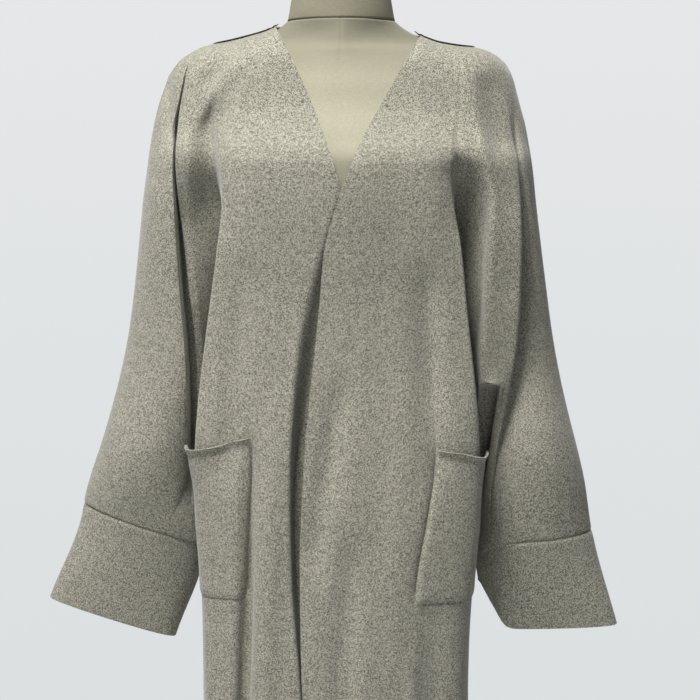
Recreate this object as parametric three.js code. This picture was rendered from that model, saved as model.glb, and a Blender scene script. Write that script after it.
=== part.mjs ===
// A full-length open-front abaya with batwing sleeves, worn on a limbless dress form on a stand.
// Millimetres, +Z up. The front faces -Y and the wearer's right side is towards -X.
// The origin is the middle of the stand base's underside, on the floor.
//
// Each front is cut in one with its sleeve, and so is the back. A panel is a grid: its rows start
// at the shoulder seam, turn level at the bust and run on down. At the underarm the grid is slit
// down one column, and its inner part goes on as the body and its outer part as the sleeve.
import * as THREE from 'three';

// ---------- driving dimensions ----------
const WALL = 1.5;            // thickness of the cloth
const SEAM_GAP = 0.3;        // space between two pieces at a seam
const SHOULDER_Z = 1455;     // height that stands for the whole sloping shoulder seam in the tables
const BUST_Z = 1345;         // the first level section
const UNDERARM_Z = 1094;     // where body and sleeve part
const HEM_Z = 95;
const GARMENT_SHIFT = 4;     // how far the garment hangs towards its left on the form
const BACK_NECK_DEPTH = 58;  // how far the back neckline stands behind the shoulder seam
const BACK_NECK_Z = 1496;    // height of the back neckline in the middle
const CUFF_ROWS = 3;
const POCKET_STAND_OFF = WALL + SEAM_GAP + 0.15;
const TAPE_WIDTH = 5;
const TAPE_THICKNESS = 1.2;
const TAPE_REACH = 150;      // how far out the shoulder tape runs
const BASE_RADIUS = 185;
const BASE_THICKNESS = 10;
const POLE_RADIUS = 14;
const NECK_TOP_Z = 1562;

// ---------- tables ----------
// The form's shoulder line and the sections that pass through it, from the neck outwards.
// Every section of the form is a rounded oval: half width, front depth, back depth, and the power
// of its outline (2 is an ellipse, more is squarer).
const SHOULDER_LINE = [
  { width: 59, z: 1498, front: 50, back: 50, power: 1.8 },
  { width: 72, z: 1487.5, front: 50, back: 48, power: 1.2 },
  { width: 84, z: 1479, front: 53, back: 49, power: 1.25 },
  { width: 95, z: 1473, front: 55, back: 50, power: 1.3 },
  { width: 110, z: 1468, front: 57, back: 51, power: 1.3 },
  { width: 134, z: 1464, front: 60, back: 55, power: 1.35 },
  { width: 157, z: 1460, front: 63, back: 60, power: 1.4 },
  { width: 170, z: 1453.5, front: 66, back: 64, power: 1.5 },
];
// The shoulder seam of the garment, out from its middle: height on the wearer's right and left.
const SHOULDER_SEAM = [
  { width: 74, right: 1490.8, left: 1484 },
  { width: 80, right: 1487, left: 1480.6 },
  { width: 90, right: 1482.8, left: 1476 },
  { width: 105, right: 1478.4, left: 1470.9 },
  { width: 130, right: 1472.2, left: 1466.8 },
  { width: 145, right: 1469.3, left: 1465.4 },
  { width: 156, right: 1466.6, left: 1462.5 },
  { width: 167, right: 1461.8, left: 1457.2 },
  { width: 179, right: 1454.4, left: 1447.2 },
  { width: 184, right: 1450.3, left: 1438.6 },
  { width: 188, right: 1445.6, left: 1428.5 },
  { width: 196, right: 1434, left: 1420 },
];
const TORSO = [
  { width: 178, z: 1438, front: 74, back: 73, power: 1.7 },
  { width: 176, z: 1420, front: 84, back: 82, power: 1.9 },
  { width: 164, z: 1395, front: 96, back: 90, power: 2.05 },
  { width: 152, z: 1365, front: 109, back: 96, power: 2.15 },
  { width: 143, z: 1338, front: 117, back: 98, power: 2.2 },
  { width: 134, z: 1300, front: 115, back: 99, power: 2.2 },
  { width: 120, z: 1240, front: 100, back: 92, power: 2.2 },
  { width: 108, z: 1170, front: 84, back: 82, power: 2.2 },
  { width: 104, z: 1120, front: 80, back: 78, power: 2.2 },
  { width: 110, z: 1060, front: 85, back: 86, power: 2.2 },
  { width: 119, z: 990, front: 91, back: 95, power: 2.2 },
  { width: 121, z: 930, front: 93, back: 98, power: 2.2 },
  { width: 118, z: 870, front: 91, back: 95, power: 2.2 },
];

// How much of its full depth the cloth has reached, at each row from the seam down to the bust.
const SHOULDER_ROWS = [
  { part: 0, front: 0, back: 0 },
  { part: 0.04, front: 0.23, back: 0.24 },
  { part: 0.12, front: 0.4, back: 0.42 },
  { part: 0.25, front: 0.53, back: 0.58 },
  { part: 0.42, front: 0.655, back: 0.74 },
  { part: 0.62, front: 0.78, back: 0.88 },
  { part: 0.81, front: 0.89, back: 0.96 },
  { part: 1, front: 0.985, back: 1 },
];

// Full depth of the cloth at the middle of the front and of the back.
const DEPTH = [
  { z: 1345, front: 129, back: 109 },
  { z: 1297, front: 131, back: 110 },
  { z: 1184, front: 128, back: 107 },
  { z: 1094, front: 126, back: 108 },
  { z: 960, front: 125, back: 112 },
  { z: 800, front: 125, back: 116 },
  { z: 500, front: 127, back: 121 },
  { z: 95, front: 131, back: 128 },
];

// One row for each section above the underarm. All but the last three columns are distances out
// from the middle: the free front edge, the roll beside it, the pocket's line, the side edge of
// the body, the first edge of the sleeve cloth, the two edges of the sleeve's pleat and the
// overarm seam. Sink is how far the valley between body and sleeve has sunk towards the middle,
// and nip is the pleat's depth.
const RIGHT_FRONT = [
  { z: 1455, edge: 77, roll: 92, pocket: 108, side: 134, tuck: 152, fold: 170, crease: 180, out: 196, sink: 0, nip: 0 },
  { z: 1400, edge: 43, roll: 57, pocket: 92, side: 142, tuck: 160, fold: 180, crease: 187, out: 210, sink: 0.06, nip: 6 },
  { z: 1345, edge: 13, roll: 27, pocket: 86, side: 138, tuck: 168, fold: 181, crease: 187, out: 218, sink: 0.25, nip: 14 },
  { z: 1297, edge: 1, roll: 14, pocket: 91, side: 133, tuck: 167, fold: 180, crease: 186, out: 224, sink: 0.38, nip: 25 },
  { z: 1241, edge: -6, roll: 29, pocket: 101, side: 139, tuck: 157, fold: 177, crease: 184, out: 230, sink: 0.5, nip: 34 },
  { z: 1184, edge: -8, roll: 43, pocket: 108, side: 145, tuck: 153, fold: 173, crease: 181, out: 237, sink: 0.66, nip: 38 },
  { z: 1128, edge: -8, roll: 52, pocket: 107, side: 151, tuck: 157, fold: 167, crease: 176, out: 245, sink: 0.88, nip: 36 },
  { z: 1094, edge: -8, roll: 55, pocket: 104, side: 155, tuck: 161, fold: 167, crease: 175, out: 254, sink: 1, nip: 26 },
];
const LEFT_FRONT = [
  { z: 1455, edge: 84, roll: 97, pocket: 112, side: 130, tuck: 150, fold: 168, crease: 177, out: 188, sink: 0, nip: 0 },
  { z: 1400, edge: 46, roll: 60, pocket: 92, side: 122, tuck: 155, fold: 182, crease: 190, out: 200, sink: 0.08, nip: 4 },
  { z: 1345, edge: 12, roll: 34, pocket: 80, side: 109, tuck: 153, fold: 187, crease: 197, out: 207, sink: 0.2, nip: 10 },
  { z: 1297, edge: -7, roll: 22, pocket: 80, side: 114, tuck: 158, fold: 190, crease: 201, out: 213, sink: 0.34, nip: 16 },
  { z: 1241, edge: -22, roll: 12, pocket: 84, side: 124, tuck: 156, fold: 192, crease: 206, out: 220, sink: 0.5, nip: 22 },
  { z: 1184, edge: -27, roll: 6, pocket: 88, side: 130, tuck: 151, fold: 191, crease: 209, out: 227.5, sink: 0.68, nip: 25 },
  { z: 1128, edge: -33, roll: 0, pocket: 92, side: 136, tuck: 146, fold: 188, crease: 208, out: 235, sink: 0.88, nip: 22 },
  { z: 1094, edge: -37, roll: -4, pocket: 94, side: 141, tuck: 148, fold: 184, crease: 204, out: 243, sink: 1, nip: 16 },
];
// The back is plainer: one valley between body and sleeve, and one pleat in the sleeve.
const RIGHT_BACK = [
  { z: 1455, edge: 0, roll: 30, pocket: 77, side: 134, tuck: 152, fold: 170, crease: 180, out: 196, sink: 0, nip: 0 },
  { z: 1400, edge: 0, roll: 40, pocket: 88, side: 140, tuck: 158, fold: 178, crease: 187, out: 210, sink: 0, nip: 3 },
  { z: 1345, edge: 0, roll: 44, pocket: 92, side: 142, tuck: 166, fold: 182, crease: 192, out: 218, sink: 0.12, nip: 10 },
  { z: 1241, edge: 0, roll: 48, pocket: 96, side: 146, tuck: 164, fold: 184, crease: 194, out: 230, sink: 0.4, nip: 18 },
  { z: 1128, edge: 0, roll: 50, pocket: 98, side: 151, tuck: 157, fold: 180, crease: 190, out: 245, sink: 0.85, nip: 16 },
  { z: 1094, edge: 0, roll: 50, pocket: 98, side: 155, tuck: 161, fold: 180, crease: 190, out: 254, sink: 1, nip: 12 },
];
const LEFT_BACK = [
  { z: 1455, edge: 0, roll: 30, pocket: 84, side: 134, tuck: 152, fold: 168, crease: 177, out: 188, sink: 0, nip: 0 },
  { z: 1400, edge: 0, roll: 38, pocket: 86, side: 136, tuck: 154, fold: 174, crease: 184, out: 200, sink: 0, nip: 3 },
  { z: 1345, edge: 0, roll: 42, pocket: 86, side: 138, tuck: 160, fold: 176, crease: 187, out: 207, sink: 0.12, nip: 10 },
  { z: 1241, edge: 0, roll: 45, pocket: 88, side: 138, tuck: 156, fold: 176, crease: 188, out: 220, sink: 0.4, nip: 16 },
  { z: 1128, edge: 0, roll: 46, pocket: 90, side: 137, tuck: 145, fold: 170, crease: 182, out: 235, sink: 0.85, nip: 14 },
  { z: 1094, edge: 0, roll: 46, pocket: 90, side: 141, tuck: 148, fold: 170, crease: 182, out: 243, sink: 1, nip: 10 },
];

// The body below the underarm: seam is the side seam, and corner is the depth in front of or
// behind it at which the body turns from its face to its side.
const RIGHT_FRONT_BODY = [
  { z: 1094, edge: -8, roll: 55, pocket: 104, side: 155, seam: 158, corner: 108 },
  { z: 1026, edge: -8, roll: 60, pocket: 98, side: 161, seam: 154, corner: 90 },
  { z: 960, edge: -8, roll: 61, pocket: 101, side: 160, seam: 151, corner: 80 },
  { z: 890, edge: -8, roll: 59, pocket: 104, side: 156, seam: 149, corner: 76 },
  { z: 800, edge: -8, roll: 52, pocket: 108, side: 153, seam: 150, corner: 74 },
  { z: 732, edge: -8, roll: 48, pocket: 110, side: 151, seam: 152, corner: 74 },
  { z: 500, edge: -8, roll: 46, pocket: 112, side: 154, seam: 158, corner: 74 },
  { z: 95, edge: -8, roll: 46, pocket: 116, side: 163, seam: 170, corner: 74 },
];
const LEFT_FRONT_BODY = [
  { z: 1094, edge: -37, roll: -4, pocket: 94, side: 141, seam: 144, corner: 106 },
  { z: 1026, edge: -43, roll: -8, pocket: 97, side: 147, seam: 140, corner: 90 },
  { z: 960, edge: -46, roll: -9, pocket: 88, side: 146, seam: 137, corner: 80 },
  { z: 890, edge: -48, roll: -9, pocket: 78, side: 140, seam: 134, corner: 76 },
  { z: 800, edge: -47, roll: -8, pocket: 71, side: 133, seam: 132, corner: 74 },
  { z: 732, edge: -45, roll: -6, pocket: 70, side: 131, seam: 133, corner: 74 },
  { z: 500, edge: -44, roll: -4, pocket: 74, side: 138, seam: 143, corner: 74 },
  { z: 95, edge: -44, roll: -2, pocket: 80, side: 150, seam: 158, corner: 74 },
];
const RIGHT_BACK_BODY = [
  { z: 1094, edge: 0, roll: 50, pocket: 98, side: 155, seam: 158, corner: 92 },
  { z: 1026, edge: 0, roll: 50, pocket: 98, side: 150, seam: 154, corner: 66 },
  { z: 890, edge: 0, roll: 50, pocket: 98, side: 145, seam: 149, corner: 58 },
  { z: 732, edge: 0, roll: 50, pocket: 98, side: 149, seam: 152, corner: 60 },
  { z: 95, edge: 0, roll: 54, pocket: 106, side: 164, seam: 170, corner: 66 },
];
const LEFT_BACK_BODY = [
  { z: 1094, edge: 0, roll: 46, pocket: 90, side: 141, seam: 144, corner: 92 },
  { z: 1026, edge: 0, roll: 46, pocket: 90, side: 136, seam: 140, corner: 66 },
  { z: 890, edge: 0, roll: 45, pocket: 88, side: 130, seam: 134, corner: 58 },
  { z: 732, edge: 0, roll: 45, pocket: 88, side: 130, seam: 133, corner: 60 },
  { z: 95, edge: 0, roll: 52, pocket: 100, side: 152, seam: 158, corner: 66 },
];

// The sleeves below the underarm, at parts of their length from the underarm (0) past the cuff
// seam (1) to the cuff's hem (2): middle of the section, half its width, its depth, how steeply
// it falls towards the body, how far its inner end is lifted, and how near to its natural place
// the pleat still is: under 1 it has run towards the underarm seam.
const RIGHT_SLEEVE = [
  { part: 0, middle: 206, z: 1094, half: 48, depth: 96, fall: 0, lift: 0, spread: 1 },
  { part: 0.4, middle: 219, z: 1026, half: 53, depth: 80, fall: 0.1, lift: 0, spread: 0.7 },
  { part: 0.7, middle: 226, z: 976, half: 61, depth: 62, fall: 0.22, lift: 0, spread: 1 },
  { part: 1, middle: 228, z: 934, half: 68, depth: 44, fall: 0.31, lift: 0, spread: 1.5 },
  { part: 2, middle: 266, z: 824, half: 70, depth: 22, fall: 0.32, lift: 0, spread: 1.5 },
];
const LEFT_SLEEVE = [
  { part: 0, middle: 194, z: 1094, half: 49, depth: 96, fall: 0, lift: 0, spread: 1 },
  { part: 0.1, middle: 204, z: 1083, half: 43, depth: 93, fall: 0, lift: 0, spread: 0.78 },
  { part: 0.4, middle: 206, z: 1034, half: 52, depth: 82, fall: 0.04, lift: 0, spread: 0.55 },
  { part: 0.7, middle: 212, z: 976, half: 59, depth: 64, fall: 0.08, lift: 2, spread: 0.4 },
  { part: 1, middle: 215, z: 918, half: 65, depth: 48, fall: 0.09, lift: 5, spread: 0.7 },
  { part: 2, middle: 232, z: 814, half: 78, depth: 26, fall: 0.02, lift: 26, spread: 0.8 },
];

// Soft folds in the faces of the body. Each runs straight from its top to its bottom: its
// distance out at both ends, its width, and its depth inwards at both ends.
const FOLDS = [
  { panel: 'front_right', top: 1270, bottom: 1040, outTop: 98, outBottom: 124, width: 15, depthTop: 3, depthBottom: 9 },
  { panel: 'front_right', top: 1070, bottom: 95, outTop: 99, outBottom: 126, width: 11, depthTop: 5, depthBottom: 24 },
  { panel: 'front_left', top: 1250, bottom: 1030, outTop: 78, outBottom: 96, width: 15, depthTop: 3, depthBottom: 6 },
  { panel: 'front_left', top: 1120, bottom: 930, outTop: -4, outBottom: -30, width: 14, depthTop: 2, depthBottom: 6 },
  { panel: 'front_left', top: 960, bottom: 95, outTop: 8, outBottom: -30, width: 15, depthTop: 6, depthBottom: 14 },
  { panel: 'front_left', top: 900, bottom: 95, outTop: 74, outBottom: 92, width: 15, depthTop: 3, depthBottom: 26 },
  { panel: 'back_right', top: 1180, bottom: 95, outTop: 46, outBottom: 54, width: 18, depthTop: 2, depthBottom: 32 },
  { panel: 'back_right', top: 1080, bottom: 95, outTop: 108, outBottom: 122, width: 17, depthTop: 2, depthBottom: 28 },
  { panel: 'back_left', top: 1200, bottom: 95, outTop: 40, outBottom: 46, width: 18, depthTop: 2, depthBottom: 30 },
  { panel: 'back_left', top: 1050, bottom: 95, outTop: 96, outBottom: 108, width: 17, depthTop: 2, depthBottom: 30 },
];

// The right front passes behind the left one: how far it is set back there.
const UNDERLAP = [
  { z: 1345, depth: 0 },
  { z: 1312, depth: 3 },
  { z: 1241, depth: 8 },
  { z: 1184, depth: 13 },
  { z: 1071, depth: 24 },
  { z: 890, depth: 27 },
  { z: 732, depth: 24 },
  { z: 500, depth: 25 },
  { z: 95, depth: 28 },
];

// ---------- rows and columns of the grids ----------
const LEVEL_ROWS = [1318, 1280, 1235, 1185, 1140, 1112, UNDERARM_Z];
const POCKET_ROWS = [1020, 975, 932, 890, 850];
const BODY_ROWS = [1074, 1048, ...POCKET_ROWS, 790, 715, 620, 500, 365, 230, HEM_Z];
const SLEEVE_ROWS = [0.1, 0.22, 0.36, 0.52, 0.68, 0.84, 1];
// Columns in each stretch of a panel, from the front edge or the middle of the back outwards.
const FRONT_STRETCHES = { edge: 3, roll: 2, pocket: 4, side: 3, seam: 3, tuck: 2, fold: 3, crease: 4 };
const BACK_STRETCHES = { edge: 2, roll: 2, pocket: 4, side: 3, seam: 3, tuck: 2, fold: 3, crease: 4 };

// ---------- small helpers ----------
const lerp = THREE.MathUtils.lerp;
const clamp = THREE.MathUtils.clamp;
const ease = (value) => THREE.MathUtils.smoothstep(value, 0, 1);

// Reads a named column of a table at a place along its key column, smoothly and without overshoot.
function read(rows, key, place, column) {
  const last = rows.length - 1;
  const sign = Math.sign(rows[last][key] - rows[0][key]);
  const at = (row) => sign * rows[row][key];
  const rise = (row) => (rows[row + 1][column] - rows[row][column]) / (at(row + 1) - at(row));
  const slope = (row) => {
    if (row === 0) return rise(0);
    if (row === last) return rise(last - 1);
    const before = rise(row - 1);
    const after = rise(row);
    return before * after > 0 ? (2 * before * after) / (before + after) : 0;
  };
  const wanted = clamp(sign * place, at(0), at(last));
  let row = 0;
  while (row < last - 1 && wanted > at(row + 1)) row += 1;
  const span = at(row + 1) - at(row);
  const s = (wanted - at(row)) / span;
  const start = rows[row][column];
  const end = rows[row + 1][column];
  return start + (end - start) * s * s * (3 - 2 * s)
    + span * s * (1 - s) * (slope(row) * (1 - s) - slope(row + 1) * s);
}

// Depth of a rounded oval at a distance out from its middle.
const oval = (out, width, power) => Math.max(0, 1 - Math.abs(out / width) ** power) ** (1 / power);

// Height of the shoulder seam at a distance out from the middle.
const shoulderHeight = (side, out) => read(SHOULDER_SEAM, 'width', out, side < 0 ? 'right' : 'left');

// ---------- the panels ----------
const PANELS = {
  front_right: { side: -1, face: 'front', upper: RIGHT_FRONT, body: RIGHT_FRONT_BODY, sleeve: RIGHT_SLEEVE },
  front_left: { side: 1, face: 'front', upper: LEFT_FRONT, body: LEFT_FRONT_BODY, sleeve: LEFT_SLEEVE },
  back_right: { side: -1, face: 'back', upper: RIGHT_BACK, body: RIGHT_BACK_BODY, sleeve: RIGHT_SLEEVE },
  back_left: { side: 1, face: 'back', upper: LEFT_BACK, body: LEFT_BACK_BODY, sleeve: LEFT_SLEEVE },
};

// Inward depth of the soft folds of a panel.
function foldDepth(name, out, z) {
  let depth = 0;
  for (const fold of FOLDS) {
    if (fold.panel !== name || z > fold.top) continue;
    const part = clamp((fold.top - z) / (fold.top - fold.bottom), 0, 1);
    const past = fold.bottom === HEM_Z ? 0 : Math.max(0, fold.bottom - z) / 60;
    const start = ease((fold.top - z) / 60);
    const middle = lerp(fold.outTop, fold.outBottom, part);
    const shape = Math.exp(-(((out - middle) / fold.width) ** 2));
    depth += lerp(fold.depthTop, fold.depthBottom, part) * start * (1 - ease(past)) * shape;
  }
  return depth;
}

// Inward set of a front's free edge: behind the other front on the right, proud of it on the left.
function lapDepth(name, out, z) {
  if (name === 'front_right') {
    const roll = z > UNDERARM_Z ? read(RIGHT_FRONT, 'z', z, 'roll') : read(RIGHT_FRONT_BODY, 'z', z, 'roll');
    return read(UNDERLAP, 'z', z, 'depth') * (1 - ease((out - roll + 10) / 20));
  }
  if (name === 'front_left') return -2.5 * (1 - ease(out / 60)) * ease((BUST_Z + 20 - z) / 40);
  return 0;
}

// One stretch of points between two marks, evenly spaced.
const stretch = (from, to, count) => Array.from({ length: count }, (_, i) => lerp(from, to, i / count));

// The section of a panel above the underarm: points [out, depth in front of or behind the seam].
function upperSection(name, part, z) {
  const { face, upper } = PANELS[name];
  const columns = face === 'front' ? FRONT_STRETCHES : BACK_STRETCHES;
  const tableZ = part < 1 ? lerp(SHOULDER_Z, BUST_Z, part) : z;
  const mark = (column) => read(upper, 'z', tableZ, column);
  const full = read(DEPTH, 'z', z ?? BUST_Z, face) * read(SHOULDER_ROWS, 'part', part, face);
  const surface = (out) => full * oval(out, mark('out'), 2.4);
  const [side, tuck, fold, crease, out] = ['side', 'tuck', 'fold', 'crease', 'out'].map(mark);
  const soft = (point) => {
    const fade = ease((side - point) / 12);
    return surface(point) - (foldDepth(name, point, tableZ) + lapDepth(name, point, tableZ)) * fade * part;
  };
  const face_ = [
    ...stretch(mark('edge'), mark('roll'), columns.edge),
    ...stretch(mark('roll'), mark('pocket'), columns.roll),
    ...stretch(mark('pocket'), side, columns.pocket),
  ].map((point) => [point, soft(point)]);
  const gap = tuck - side;
  const seam = (side + tuck) / 2;
  const floor = lerp(surface(seam), 1, mark('sink'));
  const valley = [
    [side, surface(side)],
    [side + 0.14 * gap, lerp(surface(side), floor, 0.55)],
    [side + 0.26 * gap, floor],
    [seam, floor],
    [tuck - 0.26 * gap, floor],
    [tuck - 0.14 * gap, lerp(surface(tuck), floor, 0.55)],
  ];
  const between = stretch(tuck, fold, columns.tuck).map((point) => [point, surface(point)]);
  const pleatFloor = surface((fold + crease) / 2) - mark('nip');
  const pleat = [
    [fold, surface(fold)],
    [lerp(fold, crease, 0.28), pleatFloor],
    [lerp(fold, crease, 0.72), pleatFloor],
  ];
  // The last stretch is spaced by angle, so that it turns evenly into the overarm seam.
  const startAngle = Math.asin((crease / out) ** 1.2);
  const outer = stretch(startAngle, Math.PI / 2, columns.crease)
    .map((angle) => out * Math.sin(angle) ** (1 / 1.2))
    .map((point) => [point, surface(point)]);
  return [...face_, ...valley, ...between, ...pleat, ...outer, [out, 0]];
}

// Height and place of each point of a row above the underarm.
function upperRow(name, part, z) {
  const { side, face } = PANELS[name];
  const direction = face === 'front' ? -1 : 1;
  const neck = read(PANELS[name].upper, 'z', SHOULDER_Z, face === 'back' ? 'pocket' : 'edge');
  return upperSection(name, part, z).map(([out, depth]) => {
    if (part === 1) return [side * out, direction * depth, z];
    const behindNeck = face === 'back' && out < neck ? 1 - (out / neck) ** 2 : 0;
    const seamZ = lerp(shoulderHeight(side, Math.max(out, neck)), BACK_NECK_Z, behindNeck);
    const seamY = BACK_NECK_DEPTH * Math.sqrt(behindNeck);
    const reach = read(SHOULDER_ROWS, 'part', part, face);
    return [side * out, seamY * (1 - reach) + direction * depth, lerp(seamZ, BUST_Z, part)];
  });
}

// A row of the body below the underarm, from its front edge or middle to the side seam.
function bodyRow(name, z) {
  const { side, face, body } = PANELS[name];
  const direction = face === 'front' ? -1 : 1;
  const columns = face === 'front' ? FRONT_STRETCHES : BACK_STRETCHES;
  const mark = (column) => read(body, 'z', z, column);
  const [sideEdge, seam, corner] = ['side', 'seam', 'corner'].map(mark);
  const full = read(DEPTH, 'z', z, face);
  const surface = (out) => corner + (full - corner) * oval(out, sideEdge, 2.2);
  const soft = (out) => surface(out) - foldDepth(name, out, z) - lapDepth(name, out, z);
  const face_ = [
    ...stretch(mark('edge'), mark('roll'), columns.edge),
    ...stretch(mark('roll'), mark('pocket'), columns.roll),
    ...stretch(mark('pocket'), sideEdge, columns.pocket),
  ].map((out) => [out, soft(out)]);
  // From the corner the side rounds back to its seam.
  const round = 5 * ease((UNDERARM_Z - z) / 60);
  const turn = stretch(0, 1, columns.side)
    .map((part) => [lerp(sideEdge, seam, part) + round * Math.sin(Math.PI * part), corner * (1 - part)]);
  turn[0][1] = soft(sideEdge);
  return [...face_, ...turn, [seam, 0]].map(([out, depth]) => [side * out, direction * depth, z]);
}

// Shares of the half turn round a sleeve for its columns, from the underarm seam (0) to the
// overarm seam (1): each column keeps its place across the sleeve.
function sleeveShares(name, spread) {
  const { middle, half } = PANELS[name].sleeve[0];
  const row = upperSection(name, 1, UNDERARM_Z).slice(seamColumn(name));
  const tuck = 3;
  const place = ([out]) => Math.acos(clamp((middle - out) / half, -1, 1)) / Math.PI;
  const shares = row.map((point, i) => (i < tuck ? place(row[tuck]) * (i / tuck) : place(point)));
  const crease = shares[shares.length - 1 - FRONT_STRETCHES.crease];
  const past = (share) => crease * spread + ((share - crease) / (1 - crease)) * (1 - crease * spread);
  return shares.map((share) => (share <= crease ? share * spread : past(share)));
}

// A row of a sleeve: the pleated section at the underarm eases into a flattened tube. Every
// column starts from its own place at the underarm and moves as its share of the turn does.
function sleeveRow(name, part) {
  const { side, face, sleeve } = PANELS[name];
  const direction = face === 'front' ? -1 : 1;
  const mark = (column) => read(sleeve, 'part', part, column);
  const [middle, z, half, depth, fall, lift] = ['middle', 'z', 'half', 'depth', 'fall', 'lift'].map(mark);
  const first = sleeve[0];
  const start = upperSection(name, 1, UNDERARM_Z).slice(seamColumn(name));
  const startShares = sleeveShares(name, first.spread);
  const shares = sleeveShares(name, mark('spread'));
  const blend = ease(part / 0.45);
  const nip = PANELS[name].upper[PANELS[name].upper.length - 1].nip * (1 - ease(part / 0.7)) * blend;
  const pleatColumns = [shares.length - 7, shares.length - 6];
  const roundness = lerp(0.9, 0.55, clamp(part - 1, 0, 1));
  return shares.map((share, i) => {
    const across = -Math.cos(Math.PI * share);
    const offset = start[i][0] - first.middle + first.half * Math.cos(Math.PI * startShares[i]);
    const out = half * across + offset;
    const roundDepth = depth * Math.sin(Math.PI * share) ** roundness - (pleatColumns.includes(i) ? nip : 0);
    const deep = i === 0 ? 0 : lerp(start[i][1] * (depth / first.depth), roundDepth, blend);
    const height = z + fall * out + lift * Math.max(0, -across) ** 4;
    return [side * (middle + out), direction * deep, height];
  });
}

// The column that the slit runs down.
function seamColumn(name) {
  const columns = PANELS[name].face === 'front' ? FRONT_STRETCHES : BACK_STRETCHES;
  return columns.edge + columns.roll + columns.pocket + columns.side;
}

// ---------- meshes ----------
const key = (point) => point.map((value) => Math.round(value * 100)).join(' ');

// The faces of two neighbouring rows, as triangles.
function rowFaces(upper, lower) {
  const faces = [];
  for (let i = 0; i + 1 < upper.length; i += 1) {
    faces.push([upper[i], lower[i], upper[i + 1]], [upper[i + 1], lower[i], lower[i + 1]]);
  }
  return faces;
}

// A sheet is a list of points with triangles that face outwards.
class Sheet {
  constructor() {
    this.points = [];
    this.faces = [];
  }

  addRow(points) {
    this.points.push(...points);
    return points.map((_, i) => this.points.length - points.length + i);
  }

  join(upper, lower, flip) {
    for (const face of rowFaces(upper, lower)) this.faces.push(flip ? [face[0], face[2], face[1]] : face);
  }
}

// Whether a panel's triangles need turning to face outwards.
const turned = (name) => (PANELS[name].side === 1) === (PANELS[name].face === 'front');

// One front, or one half of the back.
function panelSheet(name) {
  const sheet = new Sheet();
  const flip = !turned(name);
  const seam = seamColumn(name);
  const upperRows = [
    ...SHOULDER_ROWS.map(({ part }) => (part < 1 ? upperRow(name, part) : upperRow(name, 1, BUST_Z))),
    ...LEVEL_ROWS.map((z) => upperRow(name, 1, z)),
  ].map((row) => sheet.addRow(row));
  upperRows.slice(1).forEach((row, i) => sheet.join(upperRows[i], row, flip));
  const crotch = upperRows[upperRows.length - 1];
  let above = crotch.slice(0, seam + 1);
  for (const z of BODY_ROWS) {
    const row = sheet.addRow(bodyRow(name, z));
    sheet.join(above, row, flip);
    above = row;
  }
  above = crotch.slice(seam);
  for (const part of SLEEVE_ROWS) {
    const row = sheet.addRow(sleeveRow(name, part));
    sheet.join(above, row, flip);
    above = row;
  }
  return sheet;
}

// Joins sheets along the points that they share.
function weld(sheets) {
  const welded = new Sheet();
  const seen = new Map();
  for (const sheet of sheets) {
    const index = sheet.points.map((point) => {
      const name = key(point);
      if (!seen.has(name)) seen.set(name, welded.points.push(point) - 1);
      return seen.get(name);
    });
    welded.faces.push(...sheet.faces.map((face) => face.map((corner) => index[corner])));
  }
  return welded;
}

// A cuff: the sleeve's tube carried on to its hem, front and back in one.
function cuffSheet(side) {
  const [front, back] = [`front_${side}`, `back_${side}`];
  const sheet = new Sheet();
  const flip = !turned(front);
  const rows = Array.from({ length: CUFF_ROWS + 1 }, (_, i) => {
    const part = 1 + i / CUFF_ROWS;
    const ring = [...sleeveRow(front, part), ...sleeveRow(back, part).slice(1, -1).reverse()];
    return sheet.addRow(ring);
  });
  rows.slice(1).forEach((row, i) => sheet.join([...rows[i], rows[i][0]], [...row, row[0]], flip));
  return sheet;
}

// Sum of the face normals at every point that the garment's pieces share.
function sharedNormals(sheets) {
  const normals = new Map();
  for (const { points, faces } of sheets) {
    for (const face of faces) {
      const [a, b, c] = face.map((corner) => new THREE.Vector3(...points[corner]));
      const normal = b.sub(a).cross(c.sub(a));
      for (const corner of face) {
        const name = key(points[corner]);
        if (!normals.has(name)) normals.set(name, new THREE.Vector3());
        normals.get(name).add(normal);
      }
    }
  }
  // The shoulder, overarm and side seams all lie in the plane between front and back.
  for (const [name, normal] of normals) {
    if (name.split(' ')[1] === '0') normal.y = 0;
    normal.normalize();
  }
  return normals;
}

// The edges that only one triangle uses, in the direction in which it runs along them.
function openEdges(faces) {
  const edges = new Map();
  for (const face of faces) {
    face.forEach((from, i) => edges.set(`${from} ${face[(i + 1) % 3]}`, [from, face[(i + 1) % 3]]));
  }
  return [...edges.values()].filter(([from, to]) => !edges.has(`${to} ${from}`));
}

// Draws a sheet's open edges in by half a seam gap.
function drawIn({ points, faces }) {
  const edges = openEdges(faces);
  const rim = new Set(edges.flat());
  const pull = new Map([...rim].map((corner) => [corner, new THREE.Vector3()]));
  for (const face of faces) {
    const middle = face.map((corner) => new THREE.Vector3(...points[corner]));
    for (const [from, to] of [[0, 1], [1, 2], [2, 0]]) {
      if (!edges.some(([a, b]) => a === face[from] && b === face[to])) continue;
      const along = middle[to].clone().sub(middle[from]).normalize();
      const inward = middle[3 - from - to].clone().sub(middle[from]);
      inward.addScaledVector(along, -inward.dot(along)).normalize();
      pull.get(face[from]).add(inward);
      pull.get(face[to]).add(inward);
    }
  }
  return points.map((point, i) => {
    if (!rim.has(i)) return point;
    const move = pull.get(i).normalize().multiplyScalar(SEAM_GAP / 2);
    return [point[0] + move.x, point[1] + move.y, point[2] + move.z];
  });
}

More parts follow.
